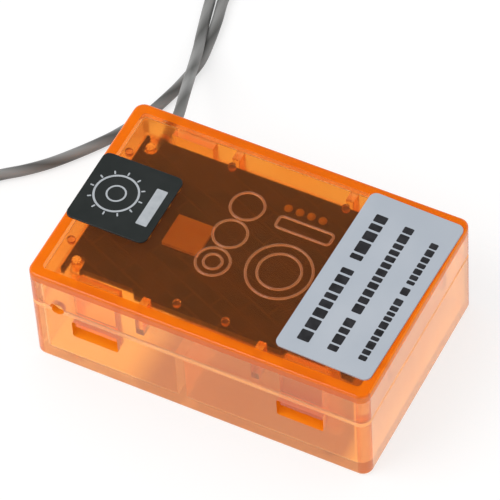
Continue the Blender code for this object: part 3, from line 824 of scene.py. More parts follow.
@dataclass(frozen=True)
class LeadJacket:
    """The lead's extruded jacket, with a faint lay that winds round it and painted shade and highlight that
    follow the lay.

    Fields:
        dark: The colour in the lay's hollows, a painted shade.
        light: The colour on its crests, a painted highlight.
        lay_length: How far the lay goes along the lead in a turn, in millimetres.
        strands: How often it repeats round the lead.
        crest: Where along the wave the crest's colour is full.
        grain: Smooth and dull spots in a metre.
        gloss: The roughness of the smoothest and dullest spots.
        lay_height: How far a crest stands up, in metres.
        lay_strength: How much of that height shows.
    """

    dark: Colour = (0.1, 0.1, 0.095)
    light: Colour = (0.28, 0.28, 0.275)
    lay_length: float = 5.0
    strands: float = 3.0
    crest: float = 0.8
    grain: float = 900.0
    gloss: tuple[float, float] = (0.38, 0.52)
    lay_height: float = 0.00004
    lay_strength: float = 0.6

    def material(self) -> bpy.types.Material:
        """The finish, on the tube's own distance and turn.

        Returns:
            The material.
        """
        graph = Graph("lead_jacket")
        run = graph.node("ShaderNodeUVMap", uv_map="run")
        scaled = graph.node("ShaderNodeMapping", {
            "Vector": run.outputs[0],
            "Scale": (1.0 / self.lay_length, self.strands, 1.0),
        })
        parts = graph.node("ShaderNodeSeparateXYZ", {"Vector": scaled.outputs[0]})
        turn = graph.math("ADD", parts.outputs["X"], parts.outputs["Y"])
        wave = graph.math("PINGPONG", turn, 1.0)
        # Painted shade and highlight: the colour darkens in the lay's hollows and lightens on its crests.
        graph.feed(graph.shader, "Base Color", graph.ramp(wave, [(0.0, self.dark), (self.crest, self.light)]))
        graph.feed(graph.shader, "Roughness", graph.span(graph.noise(self.grain), *self.gloss))
        graph.bump(wave, self.lay_height, self.lay_strength)
        return graph.material


@dataclass(frozen=True)
class StudioCamera:
    """The camera, where the photograph was taken from.

    Fields:
        position: Its place, in metres.
        azimuth: Its bearing, in degrees from looking along +Y.
        elevation: Its angle above the horizon, in degrees.
        roll: Its turn about its own line of sight, in degrees.
        lens: The focal length, for the sensor below.
        sensor: The sensor's width.
    """

    position: Point = (0.154565, -0.267829, 0.409973)
    azimuth: float = 29.971
    elevation: float = 51.973
    roll: float = -4.088
    lens: float = 309.81
    sensor: float = 36.0

    def build(self) -> None:
        """Make the scene's camera."""
        azimuth, elevation = math.radians(self.azimuth), math.radians(self.elevation)
        roll = math.radians(self.roll)
        back = Vector((
            math.sin(azimuth) * math.cos(elevation),
            -math.cos(azimuth) * math.cos(elevation),
            math.sin(elevation),
        ))
        level = Vector((0.0, 0.0, 1.0)).cross(back).normalized()
        across = level * math.cos(roll) + back.cross(level) * math.sin(roll)
        data = bpy.data.cameras.new("camera")
        data.lens, data.sensor_width, data.clip_end = self.lens, self.sensor, 20.0
        camera = bpy.data.objects.new("camera", data)
        bpy.context.scene.collection.objects.link(camera)
        turn = Matrix((across, back.cross(across), back)).transposed().to_4x4()
        camera.matrix_world = Matrix.Translation(self.position) @ turn
        bpy.context.scene.camera = camera


@dataclass(frozen=True)
class Studio:
    """A white table in soft light, below a ceiling that fades to grey, with painted light and painted shadow
    on it below the case.

    Fields:
        ambient: The world's light on what is neither seen through nor gloss.
        ceiling: How bright gloss shows the sky overhead; the horizon is white.
        key_power: The soft box's power in watts.
        key_size: Its side, in metres.
        key_place: Its place, in metres; it points at the case.
        table_half: Half of the table's side, in metres.
        table_low: The table's height, just below the case.
        table_shade: How much light the table sends back.
        table_glow: What is added for the rays that see the ground.
        painted_light_below_case: Painted light, added below the case for the rays that see it
        through plastic.
        under_half: Half of the length and width of the ground below the case.
        painted_shadow_below_case: Painted shadow: the colour of that glow in the board's shade.
        painted_shade_ends: Where that painted shadow starts, right of the plug well, and ends.
        painted_shade_fades: How far it takes to begin and to end.
        edge_fade: How far the ground's glow takes to end at the case's sides.
        sky_fade: How far up gloss sees the sky start and stop fading, where 0 is
            the horizon and 1 is overhead.
    """

    ambient: float = 0.74
    ceiling: float = 0.06
    key_power: float = 1.7
    key_size: float = 0.45
    key_place: Point = (-0.32, -0.3, 0.55)
    table_half: float = 3.0
    table_low: float = -0.00002
    table_shade: float = 0.4
    table_glow: float = 0.65
    painted_light_below_case: float = 1.0
    under_half: Place = (0.0215, 0.0138)
    painted_shadow_below_case: Colour = (0.06, 0.018, 0.0)
    painted_shade_ends: Place = (-0.011, 0.0198)
    painted_shade_fades: Place = (0.004, 0.002)
    edge_fade: float = 0.001
    sky_fade: Place = (0.1, 0.75)

    def build(self) -> None:
        """Make the world, the soft box and the table."""
        self.world()
        self.key()
        self.table()
        bpy.context.scene.view_settings.view_transform = "Standard"

    def world(self) -> None:
        """White to the camera, plain ambient to the rest, and the fading sky to gloss."""
        world = bpy.data.worlds.new("studio")
        world.use_nodes = True
        bpy.context.scene.world = world
        tree = world.node_tree
        background = tree.nodes["Background"]
        background.inputs["Color"].default_value = (1.0, 1.0, 1.0, 1.0)
        path = tree.nodes.new("ShaderNodeLightPath")
        seen = tree.nodes.new("ShaderNodeMath")
        seen.operation = "MAXIMUM"
        tree.links.new(path.outputs["Is Camera Ray"], seen.inputs[0])
        tree.links.new(path.outputs["Is Transmission Ray"], seen.inputs[1])
        plain = tree.nodes.new("ShaderNodeMapRange")
        plain.inputs["To Min"].default_value = self.ambient
        tree.links.new(seen.outputs[0], plain.inputs["Value"])
        direction = tree.nodes.new("ShaderNodeTexCoord")
        parts = tree.nodes.new("ShaderNodeSeparateXYZ")
        tree.links.new(direction.outputs["Generated"], parts.inputs[0])
        sky = tree.nodes.new("ShaderNodeMapRange")
        limits = (*self.sky_fade, 1.0, self.ceiling)
        for key, value in zip(("From Min", "From Max", "To Min", "To Max"), limits):
            sky.inputs[key].default_value = value
        tree.links.new(parts.outputs["Z"], sky.inputs["Value"])
        level = tree.nodes.new("ShaderNodeMix")
        tree.links.new(path.outputs["Is Glossy Ray"], level.inputs[0])
        tree.links.new(plain.outputs["Result"], level.inputs[2])
        tree.links.new(sky.outputs["Result"], level.inputs[3])
        tree.links.new(level.outputs[0], background.inputs["Strength"])

    def key(self) -> None:
        """One soft box above the case."""
        data = bpy.data.lights.new("soft_box", "AREA")
        data.energy, data.size = self.key_power, self.key_size
        lamp = bpy.data.objects.new("soft_box", data)
        bpy.context.scene.collection.objects.link(lamp)
        lamp.location = self.key_place
        lamp.rotation_euler = (-Vector(self.key_place)).to_track_quat("-Z", "Y").to_euler()

    def below_case(self, graph: Graph, ends: Place, fades: Place) -> bpy.types.NodeSocket:
        """How much a spot of the table lies below a stretch of the case.

        Args:
            graph: The table's nodes.
            ends: Where the stretch starts and ends along X.
            fades: How far it takes to begin and to end.

        Returns:
            1 inside the stretch and 0 outside.
        """
        place = graph.node("ShaderNodeSeparateXYZ", {"Vector": graph.coordinates.outputs["Object"]})
        across = graph.math("ABSOLUTE", place.outputs["Y"])
        limits = (
            (across, self.under_half[1], self.under_half[1] - self.edge_fade),
            (place.outputs["X"], ends[0], ends[0] + fades[0]),
            (place.outputs["X"], ends[1], ends[1] - fades[1]),
        )
        shares = [
            graph.node("ShaderNodeMapRange", {"Value": value, "From Min": low, "From Max": high})
            for value, low, high in limits
        ]
        side, start, end = (share.outputs["Result"] for share in shares)
        return graph.math("MULTIPLY", graph.math("MULTIPLY", side, start), end)

    def table(self) -> None:
        """The table, which keeps the case's shadow, and below the case shows painted light and painted shadow
        to rays seen through the plastic.
        """
        half, low = self.table_half, self.table_low
        corners = [(-half, -half, low), (half, -half, low), (half, half, low), (-half, half, low)]
        mesh = bpy.data.meshes.new("table")
        mesh.from_pydata(corners, [], [(0, 1, 2, 3)])
        table = bpy.data.objects.new("table", mesh)
        bpy.context.scene.collection.objects.link(table)
        graph = Graph("white_table")
        graph.feed(graph.shader, "Base Color", (self.table_shade, self.table_shade, self.table_shade, 1.0))
        graph.feed(graph.shader, "Roughness", 1.0)
        graph.feed(graph.shader, "Specular IOR Level", 0.0)
        path = graph.node("ShaderNodeLightPath")
        through = path.outputs["Is Transmission Ray"]
        # Painted shadow: right of the plug well, the ground seen through the plastic takes a dim orange
        # colour in place of the board's shade.
        shaded = self.below_case(graph, self.painted_shade_ends, self.painted_shade_fades)
        shade = graph.math("MULTIPLY", through, shaded)
        tint = graph.ramp(shade, [(0.0, (1.0, 1.0, 1.0)), (1.0, self.painted_shadow_below_case)])
        graph.feed(graph.shader, "Emission Color", tint)
        end = self.under_half[0]
        # Painted light: below the whole case, the ground seen through the plastic glows brighter in place of
        # light coming in through the case.
        under = self.below_case(graph, (-end, end), (self.edge_fade, self.edge_fade))
        below = graph.math("MULTIPLY", through, under)
        open_air = graph.math("MAXIMUM", path.outputs["Is Camera Ray"], path.outputs["Is Glossy Ray"])
        seen = graph.math("MAXIMUM", through, open_air)
        plain_glow = graph.span(seen, 0.0, self.table_glow)
        glow = graph.math("MAXIMUM", plain_glow, graph.span(below, 0.0, self.painted_light_below_case))
        graph.feed(graph.shader, "Emission Strength", glow)
        mesh.materials.append(graph.material)


@dataclass(frozen=True)
class AntennaLead:
    """The grey coax lead and its thin bare end.

    Fields:
        diameter: The jacket's diameter.
        tip_diameter: The diameter of the bare end.
        exit: Where the lead leaves the back wall; not used.
        out_route: From the wall, down to the table and on to the coil.
        coil_centre: The middle of the coil.
        coil_radius: The radius of its turns.
        coil_start: The angle at which the lead joins the coil, in degrees.
        coil_sweep: How far it runs round, clockwise from above, in degrees.
        climb: Where the second turn climbs onto the first, in degrees run.
        back_route: From the coil back past the case's corner.
        tip_route: The bare end.
        coil_step: How far apart the coil's chosen points lie, in degrees.
        spacing: How far apart the rings of the tube lie.
        sides: Points round the tube.
        end_round: The rounding of its ends.
    """

    diameter: float = 1.4
    tip_diameter: float = 0.9
    exit: Point = (-18.2, 14.3, 10.2)
    out_route: tuple[Point, ...] = (
        (-18.2, 13.75, 10.2),
        (-18.35, 15.2, 10.22),
        (-19.0, 18.3, 9.9),
        (-20.1, 21.5, 8.8),
        (-21.8, 25.8, 6.4),
        (-23.1, 29.0, 4.4),
        (-24.15, 31.8, 3.0),
        (-25.0, 34.3, 2.2),
        (-26.0, 36.9, 1.4),
        (-27.25, 40.7, 0.8),
        (-28.0, 43.3, 0.7),
        (-28.75, 45.2, 0.7),
        (-29.7, 46.9, 0.7),
        (-31.3, 48.4, 0.7),
    )
    coil_centre: Place = (-29.9, 57.9)
    coil_radius: float = 7.7
    coil_start: float = 225.0
    coil_sweep: float = 603.0
    climb: Place = (270.0, 350.0)
    back_route: tuple[Point, ...] = (
        (-24.5, 50.15, 0.7),
        (-25.4, 48.0, 0.7),
        (-26.25, 46.0, 0.7),
        (-26.5, 44.15, 0.7),
        (-25.6, 40.5, 0.7),
        (-24.9, 37.0, 0.7),
        (-24.45, 33.45, 0.7),
        (-24.8, 30.05, 0.7),
        (-25.4, 26.9, 0.7),
        (-26.6, 22.6, 0.7),
        (-28.3, 18.9, 0.7),
        (-29.7, 16.6, 0.7),
        (-31.7, 13.8, 0.7),
        (-33.8, 11.2, 0.7),
        (-36.1, 8.95, 0.7),
        (-38.5, 7.0, 0.7),
        (-40.6, 4.9, 0.7),
    )
    tip_route: tuple[Point, ...] = (
        (-40.6, 4.9, 0.68),
        (-40.9, 4.6, 0.65),
        (-42.2, 2.2, 0.53),
        (-42.6, -1.0, 0.47),
        (-41.9, -5.0, 0.45),
        (-40.4, -9.0, 0.45),
        (-38.4, -13.2, 0.45),
        (-36.2, -17.4, 0.45),
        (-33.8, -21.6, 0.45),
        (-32.7, -23.6, 0.45),
    )
    coil_step: float = 15.0
    spacing: float = 0.35
    sides: int = 20
    end_round: float = 0.25

    def coil(self) -> Array:
        """Points of the coil.

        The angle falls evenly, the radius is even, and the height is half a
        diameter, plus a whole one after a smooth climb before the first turn
        ends.

        Returns:
            One row for each point.
        """
        run = np.linspace(0.0, self.coil_sweep, round(self.coil_sweep / self.coil_step) + 1)
        angle = np.radians(self.coil_start - run)
        share = np.clip((run - self.climb[0]) / (self.climb[1] - self.climb[0]), 0.0, 1.0)
        return np.stack([
            self.coil_centre[0] + self.coil_radius * np.cos(angle),
            self.coil_centre[1] + self.coil_radius * np.sin(angle),
            self.diameter / 2 + self.diameter * share ** 2 * (3.0 - 2.0 * share),
        ], axis=1)

    def strand(
        self,
        name: str,
        route: Array,
        diameter: float,
        finish: bpy.types.Material,
        stands_for: tuple[str, ...],
    ) -> None:
        """Args:
            name: The piece's name.
            route: Its chosen points.
            diameter: Its diameter.
            finish: Its finish.
            stands_for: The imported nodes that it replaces.
        """
        path = smooth_path(route, self.spacing)
        path[:, 2] = np.maximum(path[:, 2], diameter / 2)
        mesh = to_mesh(name, swept_tube(path, diameter / 2, self.sides, self.end_round))
        piece = place_piece(name, mesh, finish, smooth_below=60.0)
        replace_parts(piece, *stands_for)

    def build(self, jacket: bpy.types.Material, bare: bpy.types.Material) -> None:
        """Make the lead and its bare end.

        Args:
            jacket: The jacket's finish.
            bare: The bare end's finish.
        """
        route = np.vstack([self.out_route, self.coil(), self.back_route])
        self.strand(
            "antenna_lead", route, self.diameter, jacket,
            ("antenna_lead_out", "antenna_coil", "antenna_lead_back"),
        )
        self.strand(
            "antenna_bare_end", np.array(self.tip_route), self.tip_diameter, bare,
            ("antenna_tip",),
        )


@dataclass(frozen=True)
class CaseShells:
    """The moulded cover and base, with all that is moulded on them.

    Insets are measured inwards from the case's outside, and heights from its
    foot. What is given for one side holds for the other side too.

    Fields:
        length: The case's length.
        width: Its width.
        height: Its height.
        wall: The thickness of its walls.
        ceiling: The height of the cover's inner face.
        floor: The height of the base's inner face.
        corner: The radius of the upright corners.
        inner_corner: The least radius that they shrink to further in.
        edge_round: The rounding of the outer edges at the top and at the foot.
        seam_round: The rounding of the edges at the seam.
        inner_round: The rounding where a wall meets the ceiling or the floor.
        soft_edge: The rounding of the ribs' corners.
        rim_break: How far below the ceiling the rim starts on the outside.
        chamfer: The chamfers of the tongue and the rebate.
        cover_bottom: The height of the cover's edge.
        base_top: The height of the base's edge.
        tongue_inset: The inset of the tongue's outer face.
        tongue_bottom: The height at which the tongue ends.
        rebate_inset: The inset of the rebate that takes the tongue.
        rebate_floor: The rebate's height.
        embed: How deep what is moulded on reaches into its shell.
        overcut: How far a cutter of the walls reaches out of them.
        window_x: X of the snap windows' middles.
        window: A window's width and height.
        window_low: The height of its lower side.
        window_corner: The rounding of its corners.
        window_reach: How far its cutter reaches inside the wall.
        leg_width: A snap leg's width.
        leg_back: Y of its inner face.
        leg_face: Y of its outer face.
        leg_tip: The height of its lower end.
        leg_bevel: Depth and height of the bevel at that end.
        leg_edge: The rounding of its other edges.
        barb: Y of its barb's crest.
        barb_crest: The crest's height.
        barb_play: The play between the barb and the window's upper side.
        rib: A rib's thickness.
        rib_x: X of the ribs at the long walls.
        rib_end: Y at which those ribs end.
        rib_low: The height of all ribs' lower ends.
        end_rib_x: X at which the ribs at the end walls end.
        end_rib_y: Y of those ribs.
        press_pins: Where the pins that hold the board stand.
        press_pin_low: The height of their lower ends.
        press_pin_tip: Radius of the rounded tip, and height over its end.
        press_pin_steps: Points round a pin.
        bore: X and height of the antenna's holes.
        bore_radius: Their radius.
        bore_reach: How far their cutter reaches inside the wall.
        partition_x: X of the partition.
        partition: Its thickness.
        posts: Where the board posts stand.
        post_section: Radius and height of a post's shoulder and peg.
        post_steps: Points round a post.
        well_centre: The middle of the plug well.
        well_half: Half of its length and width.
        well_corner: The radius of its corners.
        well_flare: How much it widens at the foot, and how far up.
        well_cut: The heights at which its cutter starts and ends.
        well_top: The height of the wall round it.
        web_corner: The radius of that wall's corners, and the least it shrinks to.
        web_round: The rounding of its upper edge.
        key_ys: Y of the plug keys.
        key_half: Half of a key's width.
        key_depth: How far it reaches into the well's side.
        key_top: The height at which it ends.
        ridge: Half the width, and the height, of a raised mark.
        ridge_root: How deep a mark reaches into the cover.
        ridge_steps: Points of a mark's half circle.
        ring_steps: Points round a raised ring.
        rings: Centre and radius of each raised ring.
        blank_frame: Centre and half of the sides of the raised frame.
        frame_corner: The frame's corner radius, and the least it shrinks to.
        slack: How far past a part's edge its look may reach.
        skin: How near the plane of a leg's inner face, or the ceiling, a face
            counts as part of it.
        end_skin: The same for the end walls.
        facing: How far a normal points along an axis where its face looks that way.
        pin_zone: The middle of the pins' look below the ceiling, and half its height.
    """

    length: float = 44.0
    width: float = 28.6
    height: float = 15.3
    wall: float = 1.4
    ceiling: float = 14.2
    floor: float = 1.2
    corner: float = 1.3
    inner_corner: float = 0.6
    edge_round: float = 0.4
    seam_round: float = 0.3
    inner_round: float = 0.3
    soft_edge: float = 0.15
    rim_break: float = 0.1
    chamfer: float = 0.1
    cover_bottom: float = 9.93
    base_top: float = 9.87
    tongue_inset: float = 0.95
    tongue_bottom: float = 9.45
    rebate_inset: float = 0.75
    rebate_floor: float = 9.3
    embed: float = 0.25
    overcut: float = 0.4
    window_x: float = 13.4
    window: Place = (6.0, 2.7)
    window_low: float = 6.0
    window_corner: float = 0.3
    window_reach: float = 0.3
    leg_width: float = 5.4
    leg_back: float = 11.6
    leg_face: float = 12.6
    leg_tip: float = 5.7
    leg_bevel: Place = (0.3, 0.6)
    leg_edge: float = 0.1
    barb: float = 13.9
    barb_crest: float = 1.0
    barb_play: float = 0.3
    rib: float = 1.0
    rib_x: float = 7.5
    rib_end: float = 11.3
    rib_low: float = 10.55
    end_rib_x: float = 19.0
    end_rib_y: float = 7.3
    press_pins: tuple[Place, ...] = (
        (-19.7, -7.3), (-19.7, 7.3), (-4.15, -10.4), (2.15, -10.4), (-7.5, 10.4), (7.5, 10.4),
    )
    press_pin_low: float = 13.6
    press_pin_tip: tuple[Place, ...] = ((0.35, 0.0), (0.46, 0.04), (0.5, 0.15))
    press_pin_steps: int = 20
    bore: Place = (-18.2, 10.2)
    bore_radius: float = 0.9
    bore_reach: float = 0.45
    partition_x: float = -2.5
    partition: float = 1.2
    posts: tuple[Place, ...] = ((-17.9, -9.4), (-17.9, 9.4), (15.8, -9.4), (15.8, 9.4))
    post_section: tuple[Place, ...] = (
        (0.96, 11.9), (0.86, 12.0), (0.65, 12.0), (0.65, 13.5), (0.6, 13.62), (0.45, 13.7),
    )
    post_steps: int = 32
    well_centre: Place = (-15.1, 1.2)
    well_half: Place = (4.31, 5.73)
    well_corner: float = 0.3
    well_flare: float = 0.25
    well_cut: Place = (-1.0, 12.0)
    well_top: float = 9.35
    web_corner: Place = (0.5, 0.2)
    web_round: float = 0.2
    key_ys: tuple[float, ...] = (-2.61, -0.07, 2.47, 5.01)
    key_half: float = 0.45
    key_depth: float = 0.6
    key_top: float = 7.0
    ridge: float = 0.18
    ridge_root: float = 0.2
    ridge_steps: int = 7
    ring_steps: int = 96
    rings: tuple[tuple[Place, float], ...] = (
        ((-2.8, 5.2), 2.05), ((-2.8, 0.7), 2.05), ((-2.8, -3.8), 2.05), ((-2.8, -3.8), 1.1),
        ((4.9, -1.9), 3.95), ((4.9, -1.9), 2.6),
    )
    blank_frame: tuple[Place, Place] = ((4.9, 4.75), (3.52, 0.87))
    frame_corner: Place = (0.5, 0.2)
    slack: float = 0.02
    skin: float = 0.05
    end_skin: float = 0.15
    facing: float = 0.9
    pin_zone: Place = (0.35, 0.4)

    def half(self) -> Place:
        """Half of the case's length and width."""
        return self.length / 2, self.width / 2

    def shell_rings(self, levels: list[Place]) -> Array:
        """The shell's rounded rectangles at the given insets and heights."""
        return rounded_rings(self.half(), self.corner, levels, self.inner_corner)

    def cover_shell(self) -> Surface:
        """The cover's plain shell: down its outside, round the tongue and up its inside.

        Returns:
            The closed shell.
        """
        levels = [(self.wall, self.height), *quarter_round(0.0, self.height, self.edge_round, -1)]
        levels.append((0.0, self.ceiling - self.rim_break))
        levels += quarter_round(0.0, self.cover_bottom, self.seam_round, 1, 3)[::-1]
        levels += [
            (self.tongue_inset, self.cover_bottom),
            (self.tongue_inset, self.tongue_bottom + self.chamfer),
            (self.tongue_inset + self.chamfer, self.tongue_bottom),
            (self.wall - self.chamfer, self.tongue_bottom),
            (self.wall, self.tongue_bottom + self.chamfer),
        ]
        levels += quarter_round(self.wall, self.ceiling, self.inner_round, -1)[::-1]
        return lofted(self.shell_rings(levels))

    def base_shell(self) -> Surface:
        """The base's plain shell: up its outside, over the rebate and down its inside.

        Returns:
            The closed shell.
        """
        levels = quarter_round(0.0, 0.0, self.edge_round, 1)
        levels += quarter_round(0.0, self.base_top, self.seam_round, -1, 3)[::-1]
        levels += [
            (self.rebate_inset - self.chamfer, self.base_top),
            (self.rebate_inset, self.base_top - self.chamfer),
            (self.rebate_inset, self.rebate_floor),
            (self.wall, self.rebate_floor),
        ]
        levels += quarter_round(self.wall, self.floor, self.inner_round, 1)[::-1]
        return lofted(self.shell_rings(levels))

    def leg(self, x: float, side: int) -> Surface:
        """One snap leg with its barb, carried along X.

        Args:
            x: The leg's middle.
            side: 1 at the back wall and -1 at the front wall.

        Returns:
            The leg.
        """
        root, wall = self.ceiling + self.embed, self.width / 2 - self.wall + self.embed
        barb_top = self.window_low + self.window[1] - self.barb_play
        corners = [
            (self.leg_back, root),
            (self.leg_back, self.leg_tip),
            (self.leg_face - self.leg_bevel[0], self.leg_tip),
            (self.leg_face, self.leg_tip + self.leg_bevel[1]),
            (self.barb, barb_top - self.barb_crest),
            (self.barb, barb_top),
            (self.leg_face, barb_top),
            (self.leg_face, self.cover_bottom),
            (wall, self.cover_bottom),
            (wall, root),
        ]
        outline = softened(corners, self.leg_edge, 2) * (side, 1)
        return prism(outline, Axis.X, x - self.leg_width / 2, x + self.leg_width / 2)

    def ribs(self) -> list[Surface]:
        """The short upright ribs inside the cover's walls, with soft corners.

        Returns:
            The ribs at the long walls, then those at the end walls.
        """
        high, reach = self.ceiling + self.embed, self.wall - self.embed
        half_x, half_y = self.half()
        middle, half = (self.rib_end + half_y - reach) / 2, (half_y - reach - self.rib_end) / 2
        plans = [
            rectangle((x, side * middle), (self.rib / 2, half))
            for x in (-self.rib_x, self.rib_x) for side in (-1, 1)
        ]
        middle, half = (self.end_rib_x + half_x - reach) / 2, (half_x - reach - self.end_rib_x) / 2
        plans += [rectangle((middle, y), (half, self.rib / 2)) for y in (-self.end_rib_y, self.end_rib_y)]
        return [prism(softened(plan, self.soft_edge), Axis.Z, self.rib_low, high) for plan in plans]

    def pins(self) -> list[Surface]:
        """The short round pins under the cover that hold the board down.

        Returns:
            The pins.
        """
        section = [(radius, self.press_pin_low + over) for radius, over in self.press_pin_tip]
        section.append((section[-1][0], self.ceiling + self.embed))
        return [turned(section, place, self.press_pin_steps) for place in self.press_pins]

    def ridge_section(self) -> list[Place]:
        """A half circle on a short foot: offset from the ridge's line, and height.

        Returns:
            Offset and height of each point.
        """
        angle = np.linspace(0.0, math.pi, self.ridge_steps)
        offsets, heights = self.ridge * np.cos(angle), self.height + self.ridge * np.sin(angle)
        root = self.height - self.ridge_root
        return [(-self.ridge, root), (self.ridge, root), *zip(offsets.tolist(), heights.tolist())]

    def marks(self) -> list[Surface]:
        """The raised rings, dial and blank frame on the cover's face.

        Returns:
            The rings, then the frame.
        """
        section = self.ridge_section()
        made = [
            turned([(radius + offset, z) for offset, z in section], centre, self.ring_steps, True)
            for centre, radius in self.rings
        ]
        centre, half = self.blank_frame
        corner, least = self.frame_corner
        rings = rounded_rings(half, corner, [(-offset, z) for offset, z in section], least)
        made.append(lofted(rings, True).moved((*centre, 0.0)))
        return made

    def wall_cutters(self, outline: Array, reach: float) -> list[Surface]:
        """Two cutters of one outline, through the back and the front wall.

        Args:
            outline: Its points, as X and height.
            reach: How far the cutters reach inside the walls.

        Returns:
            Both cutters.
        """
        inner, outer = self.width / 2 - self.wall - reach, self.width / 2 + self.overcut
        return [prism(outline, Axis.Y, inner, outer), prism(outline, Axis.Y, -outer, -inner)]

    def bores(self) -> list[Surface]:
        """The round cutters of the antenna's two holes."""
        return self.wall_cutters(circle(self.bore, self.bore_radius), self.bore_reach)

    def windows(self) -> list[Surface]:
        """The cutters of the four snap windows, with rounded corners.

        Returns:
            The cutters, two for each X.
        """
        half = (self.window[0] / 2, self.window[1] / 2)
        made = []
        for x in (-self.window_x, self.window_x):
            outline = softened(rectangle((x, self.window_low + half[1]), half), self.window_corner)
            made += self.wall_cutters(outline, self.window_reach)
        return made

    def furniture(self) -> tuple[list[Surface], list[Surface]]:
        """The webs of the base: the partition and well wall, then the board posts.

        Returns:
            The partition and the well's wall, and the posts.
        """
        foot = self.floor - self.embed
        reach = self.width / 2 - self.wall + self.embed
        plan = np.array(rectangle((self.partition_x, 0.0), (self.partition / 2, reach)))
        partition = prism(plan, Axis.Z, foot, self.rebate_floor)
        half = (self.well_half[0] + self.wall, self.well_half[1] + self.wall)
        levels = [(0.0, foot), *quarter_round(0.0, self.well_top, self.web_round, -1, 3)[::-1]]
        corner, least = self.web_corner
        well_wall = lofted(rounded_rings(half, corner, levels, least)).moved((*self.well_centre, 0.0))
        section = [(self.post_section[0][0], foot), *self.post_section]
        return [partition, well_wall], [turned(section, place, self.post_steps) for place in self.posts]

    def well(self) -> Surface:
        """The cutter of the plug well, from below the floor to above its wall.

        Returns:
            The cutter, a little wider at the foot.
        """
        (low, high), flare, corner = self.well_cut, self.well_flare, self.well_corner
        levels = [(-flare, low), (-flare, 0.0), (0.0, flare), (0.0, high)]
        return lofted(rounded_rings(self.well_half, corner, levels, corner)).moved((*self.well_centre, 0.0))

    def keys(self) -> list[Surface]:
        """The cutters of the plug keys in the well's side.

        Returns:
            One cutter for each port.
        """
        edge, half = self.well_centre[0] + self.well_half[0], (self.key_depth, self.key_half)
        plans = [np.array(rectangle((edge, y), half)) for y in self.key_ys]
        return [prism(plan, Axis.Z, self.well_cut[0], self.key_top) for plan in plans]

    def looks(self, spots: Array, tilt: Array, cover: bool) -> list[tuple[Look, Array]]:
        """Where each look of the plastic lies on a shell; the first that holds counts.

        The roof is clear. The rim over the walls, most of all at the rim's ends,
        and the sides of windows and holes get a painted glow in place of light
        gathered there. The raised marks, press pins, legs and ribs are deep,
        the end walls and the edges at the seam and the foot are painted paler
        and glowing, as painted light, and the upright corners are deeper than
        the walls.

        Args:
            spots: The middle of each face, one a row.
            tilt: How far each face's normal points along each axis.
            cover: True for the cover and False for the base.

        Returns:
            Each look, and the faces that have it.
        """
        half_x, half_y = self.half()
        x, y, height = np.abs(spots[:, 0]), np.abs(spots[:, 1]), spots[:, 2]
        on_wall = (x > half_x - self.wall) | (y > half_y - self.wall)
        through_wall = y > half_y - self.wall
        seam = (self.base_top + self.cover_bottom) / 2
        window_middle = self.window_low + self.window[1] / 2
        sill = (
            through_wall & (tilt[:, 1] < self.facing)
            & (np.abs(x - self.window_x) < self.window[0] / 2 + self.slack)
            & (np.abs(height - window_middle) < self.window[1] / 2 + self.slack)
        )
        from_bore = np.hypot(spots[:, 0] - self.bore[0], height - self.bore[1])
        bored = through_wall & (from_bore < self.bore_radius + self.slack)
        from_pins = np.linalg.norm(spots[:, None, :2] - np.array(self.press_pins), axis=2).min(axis=1)
        below, reach = self.pin_zone
        pin = (
            cover & (from_pins < self.press_pin_tip[-1][0] + self.slack)
            & (np.abs(height - self.ceiling + below) < reach)
        )
        leg = (height < self.tongue_bottom - self.chamfer) | (np.abs(y - self.leg_back) < self.skin)
        side_rib = (np.abs(x - self.rib_x) < self.rib / 2 + self.slack) & (y > self.rib_end - self.slack)
        end_rib = (np.abs(y - self.end_rib_y) < self.rib / 2 + self.slack) & (x > self.end_rib_x - self.slack)
        rib = ~on_wall & (height < self.ceiling - self.skin) & (side_rib | end_rib)
        web = ~on_wall & (np.abs(spots[:, 0] - self.partition_x) < self.partition / 2 + self.slack)
        between_corners = y < half_y - self.corner
        return [
            (Look.MARK, (height > self.height + self.slack / 2) | pin),
            (Look.SILL, sill | bored),
            (Look.BROW, (x > half_x - self.end_skin) & between_corners & (height > self.ceiling)),
            (Look.RIM, on_wall & (height > self.ceiling)),
            (Look.ROOF, (tilt[:, 2] > self.facing) & (height > self.ceiling - self.inner_round)),
            (Look.LEG, cover & (leg | rib)),
            (Look.END, (x > half_x - self.edge_round) & between_corners),
            (Look.SEAM, on_wall & (np.abs(height - seam) < self.seam_round + self.chamfer)),
            (Look.FOOT, (height < self.edge_round) | (web & (not cover))),
            (Look.CORNER, (x > half_x - self.corner) & (y > half_y - self.corner)),
        ]

    def polish(self, piece: bpy.types.Object, plastics: list[bpy.types.Material], cover: bool) -> None:
        """Give each face of a shell the plastic's look at its place.

        Args:
            piece: The shell.
            plastics: The finish of each look.
            cover: True for the cover and False for the base.
        """
        faces = piece.data.polygons
        normals, centres = np.zeros(3 * len(faces)), np.zeros(3 * len(faces))
        faces.foreach_get("normal", normals)
        faces.foreach_get("center", centres)
        looks = self.looks(centres.reshape(-1, 3) / MM, np.abs(normals.reshape(-1, 3)), cover)
        finish = np.select([where for _, where in looks], [look.value for look, _ in looks], Look.WALL.value)
        piece.data.materials.clear()
        for plastic in plastics:
            piece.data.materials.append(plastic)
        faces.foreach_set("material_index", finish.astype(np.int32))

    def build(self, plastics: list[bpy.types.Material]) -> None:
        """Make both shells.

        Args:
            plastics: The finish of each look.
        """
        snaps = [self.leg(x, side) for x in (-self.window_x, self.window_x) for side in (-1, 1)]
        cover = to_mesh("cover_moulding", self.cover_shell())
        cover = changed(cover, Operation.ADD, snaps + self.ribs() + self.pins() + self.marks())
        cover = changed(cover, Operation.CUT, self.bores())
        piece = place_piece("cover_moulding", cover, plastics[0])
        self.polish(piece, plastics, True)
        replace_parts(piece, "case_cover")

